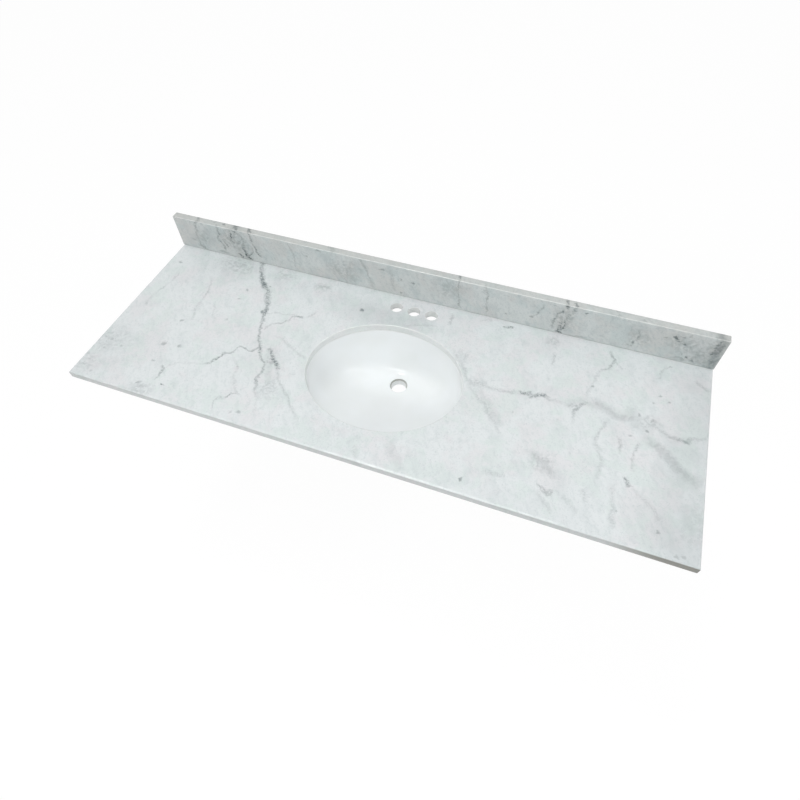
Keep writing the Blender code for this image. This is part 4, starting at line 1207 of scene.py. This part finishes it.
SPLASH_TOP_SPECKS = [
    ((180, 212.5), (8, 3), 0.45), ((199.2, 217.5), (7, 4), 0.6), ((213, 220.5), (10, 4), 0.5),
    ((225, 222), (9, 4), 0.6), ((236, 225.2), (14, 5), 0.65), ((251, 229), (12, 5), 0.7),
    ((262, 231.5), (10, 4), 0.35), ((331, 246.8), (14, 3), 0.25), ((459.8, 276), (5, 4), 0.6),
    ((577.5, 303.4), (10, 4), 0.6), ((569, 301), (5, 4), 0.5), ((616, 313), (10, 3), 0.3),
    ((645, 320), (9, 3), 0.3), ((700, 331.5), (14, 3), 0.25), ((722, 336), (12, 4), 0.4),
]
SPLASH_CLOUDS = [
    ((236, 241), (72, 62), 0.55), ((564, 320), (40, 60), 0.4), ((684, 345), (60, 40), 0.42),
    ((704, 358), (60, 50), 0.40), ((638, 337), (55, 50), 0.3), ((450, 290), (60, 50), 0.35),
    ((345, 270), (70, 60), 0.32), ((204, 238), (40, 40), 0.3), ((722, 348), (45, 60), 0.45),
]
SPLASH_SHADES = [
    ((200, 235), (160, 200), 0.10), ((680, 345), (160, 200), 0.12), ((708, 356), (70, 70), 0.24),
    ((345, 270), (110, 120), 0.08),
]
splash_veins = routes_in_stone(SPLASH_VEINS, on_splash)
splash_specks, splash_clouds, splash_shades = [
    spots_in_stone(spots, on_splash) for spots in (SPLASH_SPECKS, SPLASH_CLOUDS, SPLASH_SHADES)]
splash_specks += spots_in_stone(SPLASH_TOP_SPECKS, on_splash_top)
print("Routes:", len(slab_veins) + len(splash_veins))

# %% [markdown]
# The ground of the stone has several scales. Broad drifts a hand across turn its white warmer or cooler,
# clouds a few centimetres across make it look milky, and a mottle and small flecks give it grain close to.
# All of it is drawn out a little along the way the rock was squeezed. The marks are then broken up by a
# fine noise, so that a vein is a string of dark grains rather than a pen line.
#
# The edges are worked apart from the faces. The front face of the slab gets a painted shade that grows
# darker to the right, for the shade and the dark reflection that fall on it there, and the top of the splash
# gets a darker tone of its own. Rounded arrises round the holes, the walls of the holes and the splash's top
# arris get painted light, a paler colour where light would catch them.
#
# Calcite has an IOR of about 1.55 averaged over its crystals, and a machine polish leaves a roughness near
# 0.2. The faces that nobody sees are left as the saw cut them, so they are paler, matt and finely ribbed.

# %% Ground of the stone
STONE_BENDS = [(70, 26), (17, 13), (5, 6.5)]  # mm: the waves that bend the pattern, and how far they push it


def overlaid(tree, tone, pattern, low, high, share, code):
    """The tone with another colour laid over it where a pattern rises from low to high."""
    cover = add_node(tree, "MapRange", {"Value": pattern, "From Min": low, "From Max": high, "To Max": share},
                     interpolation_type="SMOOTHSTEP")
    laid = add_node(tree, "Mix", {0: cover, 6: tone, 7: srgb(code)}, data_type="RGBA")
    return laid.outputs[2]


# Each layer: size in mm, where it lies, detail, the noise where it starts and is full, share and colour
GROUND_LAYERS = (
    (120, "straight", 3.0, 0.46, 0.60, 0.80, "warm"), (70, "crooked", 3.0, 0.52, 0.38, 0.70, "cool"),
    (38, "drawn out", 6.0, 0.46, 0.74, 0.45, "grey"), (9, "drawn out", 5.0, 0.46, 0.72, 0.50, "grey"),
    (8, "strokes", 3.0, 0.56, 0.74, 0.40, "grey"), (3.6, "crooked", 2.0, 0.54, 0.74, 0.45, "fleck"))
GROUND_ROUGHNESS = 0.62                       # how strong the finer noise of a layer is
STROKE_STRETCH = 5.0                          # how many times as long as wide the finest strokes are


def stone_ground(tree, space, crooked, look, shades):
    """The stone's colour before its veins."""
    places = {"straight": space, "crooked": crooked}
    for place, stretch in (("drawn out", look["stretch"]), ("strokes", STROKE_STRETCH)):
        places[place] = add_node(tree, "Mapping", {
            "Vector": crooked, "Rotation": (0, 0, math.radians(look["grain"])),
            "Scale": (stretch, 1.0, 1.0)}, vector_type="TEXTURE")
    tone = srgb(look["white"])
    for size, place, detail, low, high, share, colour in GROUND_LAYERS:
        pattern = add_node(tree, "TexNoise", {"Vector": places[place], "Scale": 1 / size, "Detail": detail,
                                              "Roughness": GROUND_ROUGHNESS})
        tone = overlaid(tree, tone, pattern.outputs["Fac"], low, high, share * look["contrast"], look[colour])
    shade, flat = 0.0, flattened(tree, crooked)
    for spot, half_sizes, darkness in shades:
        shade = add_spot(tree, flat, spot, half_sizes, darkness, shade)
    return overlaid(tree, tone, shade, 0.0, 1.0, 1.0, look["vein"])


# %% Veins, spots and clouds of the stone
WEB_CELL = 11                                 # mm across a cell of the fine network in a cloud
WEB_LINE = 0.16                               # how wide its lines are, as a share of a cell
WEB_SHARE = 0.10                              # how much of a cloud's darkness it takes up
SMEAR_WIDTH = 8                               # mm, a vein with at least this half width is a smear
SMEAR_TEAR = 0.7                              # how much the puffs of a cloud tear it, from 0 to 1
RAGGED_BENDS = [(3.4, 3.6)]                   # mm, finer waves that fray a narrow vein
GRAIN_SIZE = 4.5                              # mm, the grains that break a vein up
GRAIN_RANGE = (0.36, 0.58)                    # the noise from one grain's gap to its middle
GRAIN_LEAST = 0.45                            # darkness that is left in the gaps
SMOKE_SIZE = 10                               # mm, the puffs in a cloud
SMOKE_RANGE = (0.32, 0.70)                    # the noise from clear to thick
VEIN_FALL = 1.7                               # above 1, a faint vein is fainter and a dark one stays


def stone_marks(tree, crooked, veins, specks, clouds):
    """How dark the marks are, from 0 to 1. Wide veins are torn smears and narrow ones are rows of grains."""
    ragged = bent(tree, crooked, RAGGED_BENDS)
    flat_crooked, flat_ragged = flattened(tree, crooked), flattened(tree, ragged)
    dark, smear = 0.0, 0.0
    for half_width, route in veins:
        if half_width < SMEAR_WIDTH:
            dark = add_vein(tree, flat_ragged, route, half_width, dark)
        else:
            smear = add_vein(tree, flat_crooked, route, half_width, smear)
    grains = add_node(tree, "TexNoise", {"Vector": ragged, "Scale": 1 / GRAIN_SIZE, "Detail": 3.0})
    grains = add_node(tree, "MapRange", {
        "Value": grains.outputs["Fac"], "From Min": GRAIN_RANGE[0], "From Max": GRAIN_RANGE[1],
        "To Min": GRAIN_LEAST, "To Max": 1.0}, interpolation_type="SMOOTHSTEP")
    dark = add_node(tree, "Math", {0: dark, 1: grains}, operation="MULTIPLY")
    dark = add_node(tree, "Math", {0: dark, 1: VEIN_FALL}, operation="POWER")
    smoke = add_node(tree, "TexNoise", {"Vector": crooked, "Scale": 1 / SMOKE_SIZE, "Detail": 4.0,
                                        "Roughness": 0.55})
    smoke = add_node(tree, "MapRange", {"Value": smoke.outputs["Fac"], "From Min": SMOKE_RANGE[0],
                                        "From Max": SMOKE_RANGE[1]}, interpolation_type="SMOOTHSTEP")
    torn = add_node(tree, "Math", {0: smoke, 1: SMEAR_TEAR, 2: 1 - SMEAR_TEAR / 2}, operation="MULTIPLY_ADD")
    smear = add_node(tree, "Math", {0: smear, 1: torn}, operation="MULTIPLY")
    dark = add_node(tree, "Math", {0: dark, 1: smear}, operation="MAXIMUM")
    for spot, half_sizes, darkness in specks:
        dark = add_spot(tree, flat_ragged, spot, half_sizes, darkness, dark)
    web = add_node(tree, "TexVoronoi", {"Vector": ragged, "Scale": 1 / WEB_CELL}, feature="DISTANCE_TO_EDGE")
    web = add_node(tree, "MapRange", {
        "Value": web.outputs["Distance"], "From Min": WEB_LINE, "From Max": 0.0},
        interpolation_type="SMOOTHSTEP")
    web = add_node(tree, "Math", {0: web, 1: WEB_SHARE, 2: 1 - WEB_SHARE}, operation="MULTIPLY_ADD")
    puffs = add_node(tree, "Math", {0: web, 1: smoke}, operation="MULTIPLY")
    for spot, half_sizes, darkness in clouds:
        dark = add_spot(tree, flat_crooked, spot, half_sizes, darkness, dark, puffs)
    return dark


# %% Worked edges and sawn faces
FACES_ITS_WAY = (0.75, 0.97)                  # how squarely an edge has to face its way, at first and in full
TOP_FACE, UNDER_FACE = 0.97, -0.7             # how far up the normal points, on the top and underneath
REAR_Y = -0.1 * MM                            # anything behind this is the rear face
HOLES_MIDDLE = (0, -250 * MM, 0)              # the opening and the faucet holes all lie round this spot
# the colour of the painted light on arrises and on the walls of the holes
PAINTED_LIGHT_COLOUR = "#f6f6f3"


def with_edge_layer(tree, tone, crooked, normal, place, look):
    """Darker on worked edges: painted shade on the slab's front, the stone's own tone on the splash's top."""
    facing = add_node(tree, "VectorMath", {0: normal, 1: look["edge_facing"]}, operation="DOT_PRODUCT")
    facing = add_node(tree, "MapRange", {"Value": facing.outputs["Value"], "From Min": FACES_ITS_WAY[0],
                                         "From Max": FACES_ITS_WAY[1]})
    height = add_node(tree, "VectorMath", {0: place, 1: look["edge_facing"]}, operation="DOT_PRODUCT")
    height = add_node(tree, "Math", {0: height.outputs["Value"], 1: look["edge_height"]},
                      operation="GREATER_THAN")
    along = add_node(tree, "SeparateXYZ", {0: crooked}).outputs["X"]
    start, end, least, most = look["edge_spread"]
    layer = add_node(tree, "MapRange", {"Value": along, "From Min": start, "From Max": end,
                                        "To Min": least, "To Max": most}, interpolation_type="SMOOTHSTEP")
    layer = add_node(tree, "Math", {0: layer, 1: facing}, operation="MULTIPLY")
    layer = add_node(tree, "Math", {0: layer, 1: height}, operation="MULTIPLY")
    return overlaid(tree, tone, layer, 0.0, 1.0, 1.0, look["edge"])


def with_painted_light_on_arrises(tree, tone, rise, place, look):
    """The tone with painted light, paler on rounded arrises and on the walls of the holes."""
    away = add_node(tree, "VectorMath", {0: place, 1: HOLES_MIDDLE}, operation="DISTANCE").outputs["Value"]
    painted_light = 1.0
    for value, limit, side in ((rise, TOP_FACE, "LESS_THAN"), (rise, look["painted_light_above"], "GREATER_THAN"),
                               (away, look["painted_light_within"], "LESS_THAN")):
        test = add_node(tree, "Math", {0: value, 1: limit}, operation=side)
        painted_light = add_node(tree, "Math", {0: painted_light, 1: test}, operation="MULTIPLY")
    return overlaid(tree, tone, painted_light, 0.0, 1.0, look["painted_light_share"], PAINTED_LIGHT_COLOUR)


def sawn_faces(tree, rise, place):
    """1 on the underside and at the rear, and 0 on the polished faces."""
    under = add_node(tree, "Math", {0: rise, 1: UNDER_FACE}, operation="LESS_THAN")
    depth = add_node(tree, "SeparateXYZ", {0: place}).outputs["Y"]
    rear = add_node(tree, "Math", {0: depth, 1: REAR_Y}, operation="GREATER_THAN")
    return add_node(tree, "Math", {0: under, 1: rear}, operation="MAXIMUM")


# %% Marble material
CALCITE_IOR = 1.55
POLISH_ROUGHNESS = 0.20
VEIN_ROUGHNESS = 0.27                         # veins are softer than calcite and take less polish
SAWN_ROUGHNESS = 0.75
SAWN_COLOUR, SAWN_SHARE = "#d9dbd9", 0.55     # stone dust in the sawn face, and how much of it it covers
SAW_RIB = 3.0                                 # mm between the marks of the saw, drawn about twice as coarse
SAW_RIB_HEIGHT = 0.15 * MM
WAVE_TURN = 20                                # radians that the wave node turns in one mm at a scale of 1


def marble(name, origin, axes, look, veins, specks, clouds, shades):
    """Polished marble whose rear and under faces are sawn."""
    material, tree = new_material(name)
    space = stone_space(tree, origin, *axes)
    crooked = bent(tree, space, STONE_BENDS)
    normal = add_node(tree, "NewGeometry").outputs["Normal"]
    rise = add_node(tree, "SeparateXYZ", {0: normal}).outputs["Z"]
    place = add_node(tree, "TexCoord").outputs["Object"]
    dark = stone_marks(tree, crooked, veins, specks, clouds)
    sawn = sawn_faces(tree, rise, place)

    tone = stone_ground(tree, space, crooked, look, shades)
    # painted shade on the slab's front face, darker to the right; the splash's top gets its own darker tone
    tone = with_edge_layer(tree, tone, crooked, normal, place, look)
    tone = add_node(tree, "Mix", {0: dark, 6: tone, 7: srgb(look["vein"])}, data_type="RGBA").outputs[2]
    # painted light on the arrises and on the walls of the holes
    tone = with_painted_light_on_arrises(tree, tone, rise, place, look)
    tone = overlaid(tree, tone, sawn, 0.0, 1.0, SAWN_SHARE, SAWN_COLOUR)

    rough = add_node(tree, "MapRange", {"Value": dark, "To Min": POLISH_ROUGHNESS, "To Max": VEIN_ROUGHNESS})
    rough = add_node(tree, "Mix", {0: sawn, 2: rough, 3: SAWN_ROUGHNESS}, data_type="FLOAT")
    ribs = add_node(tree, "TexWave", {
        "Vector": space, "Scale": 2 * math.pi / SAW_RIB / WAVE_TURN, "Distortion": 1.5,
        "Detail": 2.0, "Detail Scale": 0.4}, bands_direction="X")
    ribs = add_node(tree, "Math", {0: ribs.outputs["Fac"], 1: sawn}, operation="MULTIPLY")
    bump = add_node(tree, "Bump", {"Height": ribs, "Strength": 0.5, "Distance": SAW_RIB_HEIGHT})
    shader = add_node(tree, "BsdfPrincipled", {"Base Color": tone, "Roughness": rough,
                                               "IOR": CALCITE_IOR, "Normal": bump})
    add_node(tree, "OutputMaterial", {"Surface": shader})
    print(name, "has", len(tree.nodes), "nodes")
    return material


# %% The two pieces of marble and how they differ
# edge_spread: from and to, in mm along the stone, and the least and most of the darker edge tone
SLAB_LOOK = {
    "white": "#e1e6e7", "warm": "#e0e0e2", "cool": "#d7e2df", "grey": "#c6cfd0", "fleck": "#b4bdc0",
    "vein": "#6c777a", "grain": -62, "stretch": 1.8, "contrast": 0.8,
    # edge: on the slab, a painted shade on its front face for the shade and dark reflection there
    "edge": "#83837a", "edge_facing": (0, -1, 0), "edge_height": -SLAB_LOW.y - SLAB_EASING,
    # The last three keys paint light on the arrises and the walls of the holes.
    "edge_spread": (560, 720, 0.31, 0.86), "painted_light_above": -0.5, "painted_light_within": 240 * MM, "painted_light_share": 0.35}
SPLASH_LOOK = {
    "white": "#d0d5d4", "warm": "#cccdcb", "cool": "#c3cdcd", "grey": "#a9b3b5", "fleck": "#97a1a4",
    "vein": "#5d6869", "grain": -64, "stretch": 1.7, "contrast": 0.9,
    "edge": "#b4b5af", "edge_facing": (0, 0, 1), "edge_height": SPLASH_HIGH.z - ARRIS,
    # The last three keys paint a highlight on the splash's top arris.
    "edge_spread": (-800, 800, 0.45, 0.3), "painted_light_above": 0.2, "painted_light_within": 5, "painted_light_share": 0.26}

# The stone's own axes: across, up and through the face that is seen
SLAB_AXES = ((1, 0, LEAN.x), (0, 1, LEAN.y), (0, 0, 1))
SPLASH_AXES = ((1, LEAN.x, 0), (0, LEAN.y, 1), (0, 1, 0))
slab.data.materials.append(marble(
    "polished_marble_slab", (0, 0, SLAB_HIGH.z), SLAB_AXES, SLAB_LOOK,
    slab_veins, slab_specks, slab_clouds, slab_shades))
splash.data.materials.append(marble(
    "polished_marble_splash", (0, SPLASH_LOW.y, 0), SPLASH_AXES, SPLASH_LOOK,
    splash_veins, splash_specks, splash_clouds, splash_shades))

# %% [markdown]
# ## Vitreous china
#
# The basin is vitreous china, a clay body fired until it is nearly glass and covered with a white glaze.
# The glaze gives a wet gloss with soft waves in it, because it flowed before it set. It is thin and duller
# on the outside, where it was only sprayed on, and shows a few pinholes. The steep drop inside the waste
# hole is given a grey painted shade, for the shade that falls in it. The glaze is a glass, so its IOR is 1.5.

# %% China materials
GLAZE_IOR = 1.5
GLAZE_WAVE = 14.0                             # mm between the soft waves in the glaze
GLAZE_DRIFT = 90.0                            # mm between warmer and cooler patches
PINHOLE = 4.0                                 # mm between pinholes, larger than real so that they show
PINHOLE_EDGE = (0.1, 0.2)                     # from its floor to its rim, as a share of that distance
DRIFT_RANGE = (0.35, 0.65)                    # the noise from the plain colour to the warm one
GLOSS_DRIFT = 0.2                             # share by which the roughness changes from patch to patch
GLOSS_RANGE = (0.3, 0.7)                      # the noise from the glossiest patch to the dullest


def china(name, code, warm_code, roughness, wave_height, pitted):
    """China with its glaze. Pitted adds the pinholes that show where the glaze is thin or missing."""
    material, tree = new_material(name)
    place = add_node(tree, "TexCoord").outputs["Object"]
    waves = add_node(tree, "TexNoise", {"Vector": place, "Scale": 1 / (GLAZE_WAVE * MM), "Detail": 1.0})
    height = waves.outputs["Fac"]
    drift = add_node(tree, "TexNoise", {"Vector": place, "Scale": 1 / (GLAZE_DRIFT * MM), "Detail": 2.0})
    tone = overlaid(tree, srgb(code), drift.outputs["Fac"], *DRIFT_RANGE, 1.0, warm_code)
    rough = add_node(tree, "MapRange", {
        "Value": drift.outputs["Fac"], "From Min": GLOSS_RANGE[0], "From Max": GLOSS_RANGE[1],
        "To Min": roughness * (1 - GLOSS_DRIFT), "To Max": roughness * (1 + GLOSS_DRIFT)})
    if pitted:
        pits = add_node(tree, "TexVoronoi", {"Vector": place, "Scale": 1 / (PINHOLE * MM)})
        pits = add_node(tree, "MapRange", {"Value": pits.outputs["Distance"], "From Min": PINHOLE_EDGE[0],
                                           "From Max": PINHOLE_EDGE[1]})
        height = add_node(tree, "Math", {0: height, 1: pits}, operation="MULTIPLY")
    bump = add_node(tree, "Bump", {"Height": height, "Strength": 0.6, "Distance": wave_height})
    shader = add_node(tree, "BsdfPrincipled", {"Base Color": tone, "Roughness": rough,
                                               "IOR": GLAZE_IOR, "Normal": bump})
    add_node(tree, "OutputMaterial", {"Surface": shader})
    return material


basin.data.materials.append(china("glazed_china", "#f5f8f9", "#f3f6f6", 0.04, 0.03 * MM, False))
basin.data.materials.append(china("sprayed_china", "#e9eae7", "#e3e3df", 0.35, 0.15 * MM, True))
# a grey painted shade for the steep drop inside the waste hole
basin.data.materials.append(china("grey_china_painted_shade", "#c4c6c3", "#babbb7", 0.55, 0.10 * MM, True))

# %% [markdown]
# ## Silicone and the metals of the clip sets
#
# Cured silicone is slightly cloudy and has a satin skin with the waves that a finger or a tool left in it.
# The clips, studs, washers and wing nuts are steel with a thin bright coat of zinc, which is a cold grey
# with cloudy patches where the bath coated it more. The inserts are turned from brass and have gone a
# little brown.

# %% Silicone
SILICONE_IOR = 1.41
SILICONE_ROUGHNESS = 0.42
SKIN_COLOUR, SKIN_SHADE = "#dfe0dc", "#d3d4cf"
SKIN_RANGE = (0.4, 0.7)                       # the noise from the first of these colours to the second
SKIN_WAVE = 9.0                               # mm between the waves in the skin
SKIN_WAVE_HEIGHT = 0.4 * MM


def silicone():
    """Cured white silicone, which both beads are made of."""
    material, tree = new_material("cured_silicone")
    place = add_node(tree, "TexCoord").outputs["Object"]
    waves = add_node(tree, "TexNoise", {"Vector": place, "Scale": 1 / (SKIN_WAVE * MM), "Detail": 3.0})
    tone = overlaid(tree, srgb(SKIN_COLOUR), waves.outputs["Fac"], *SKIN_RANGE, 1.0, SKIN_SHADE)
    bump = add_node(tree, "Bump", {"Height": waves.outputs["Fac"], "Strength": 0.6,
                                   "Distance": SKIN_WAVE_HEIGHT})
    shader = add_node(tree, "BsdfPrincipled", {"Base Color": tone, "Roughness": SILICONE_ROUGHNESS,
                                               "IOR": SILICONE_IOR, "Normal": bump})
    add_node(tree, "OutputMaterial", {"Surface": shader})
    return material


sealant = silicone()
seal.data.materials.append(sealant)
bed.data.materials.append(sealant)

# %% Zinc plate and brass
PATCH_RANGE = (0.42, 0.68)                    # the noise from the bright colour to the dull one
DULLER = 0.15                                 # how much rougher the dull patches are
DULLER_RANGE = (0.35, 0.7)                    # the noise from the smooth patches to the rough ones
GRAIN_HEIGHT = 0.05 * MM


def worked_metal(name, code, dull_code, roughness, patch_size, grain_size):
    """Metal with duller patches and a fine grain. Sizes are in mm."""
    material, tree = new_material(name)
    place = add_node(tree, "TexCoord").outputs["Object"]
    patches = add_node(tree, "TexNoise", {"Vector": place, "Scale": 1 / (patch_size * MM), "Detail": 4.0})
    grain = add_node(tree, "TexNoise", {"Vector": place, "Scale": 1 / (grain_size * MM), "Detail": 2.0})
    tone = overlaid(tree, srgb(code), patches.outputs["Fac"], *PATCH_RANGE, 1.0, dull_code)
    rough = add_node(tree, "MapRange", {
        "Value": patches.outputs["Fac"], "From Min": DULLER_RANGE[0], "From Max": DULLER_RANGE[1],
        "To Min": roughness, "To Max": roughness + DULLER})
    bump = add_node(tree, "Bump", {"Height": grain.outputs["Fac"], "Strength": 0.35,
                                   "Distance": GRAIN_HEIGHT})
    shader = add_node(tree, "BsdfPrincipled", {"Base Color": tone, "Metallic": 1.0,
                                               "Roughness": rough, "Normal": bump})
    add_node(tree, "OutputMaterial", {"Surface": shader})
    return material


METALS = {
    "zinc": worked_metal("zinc_plated_steel", "#cdd1d6", "#a9afb5", 0.28, 7.0, 0.5),
    "brass": worked_metal("turned_brass", "#d8b873", "#a88549", 0.30, 4.0, 0.4),
}
for mesh, slot in HARDWARE.values():
    mesh.materials.append(METALS[slot])

# %% Ride on the frame
pieces = [(slab, "slab", "marble"), (splash, "backsplash", "marble"), (basin, "basin", "china"),
          (seal, "basin_seal", "silicone"), (bed, "adhesive_bed", "silicone")]
for piece, node, slot in pieces + hardware:
    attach(piece, "root")
    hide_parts(node)
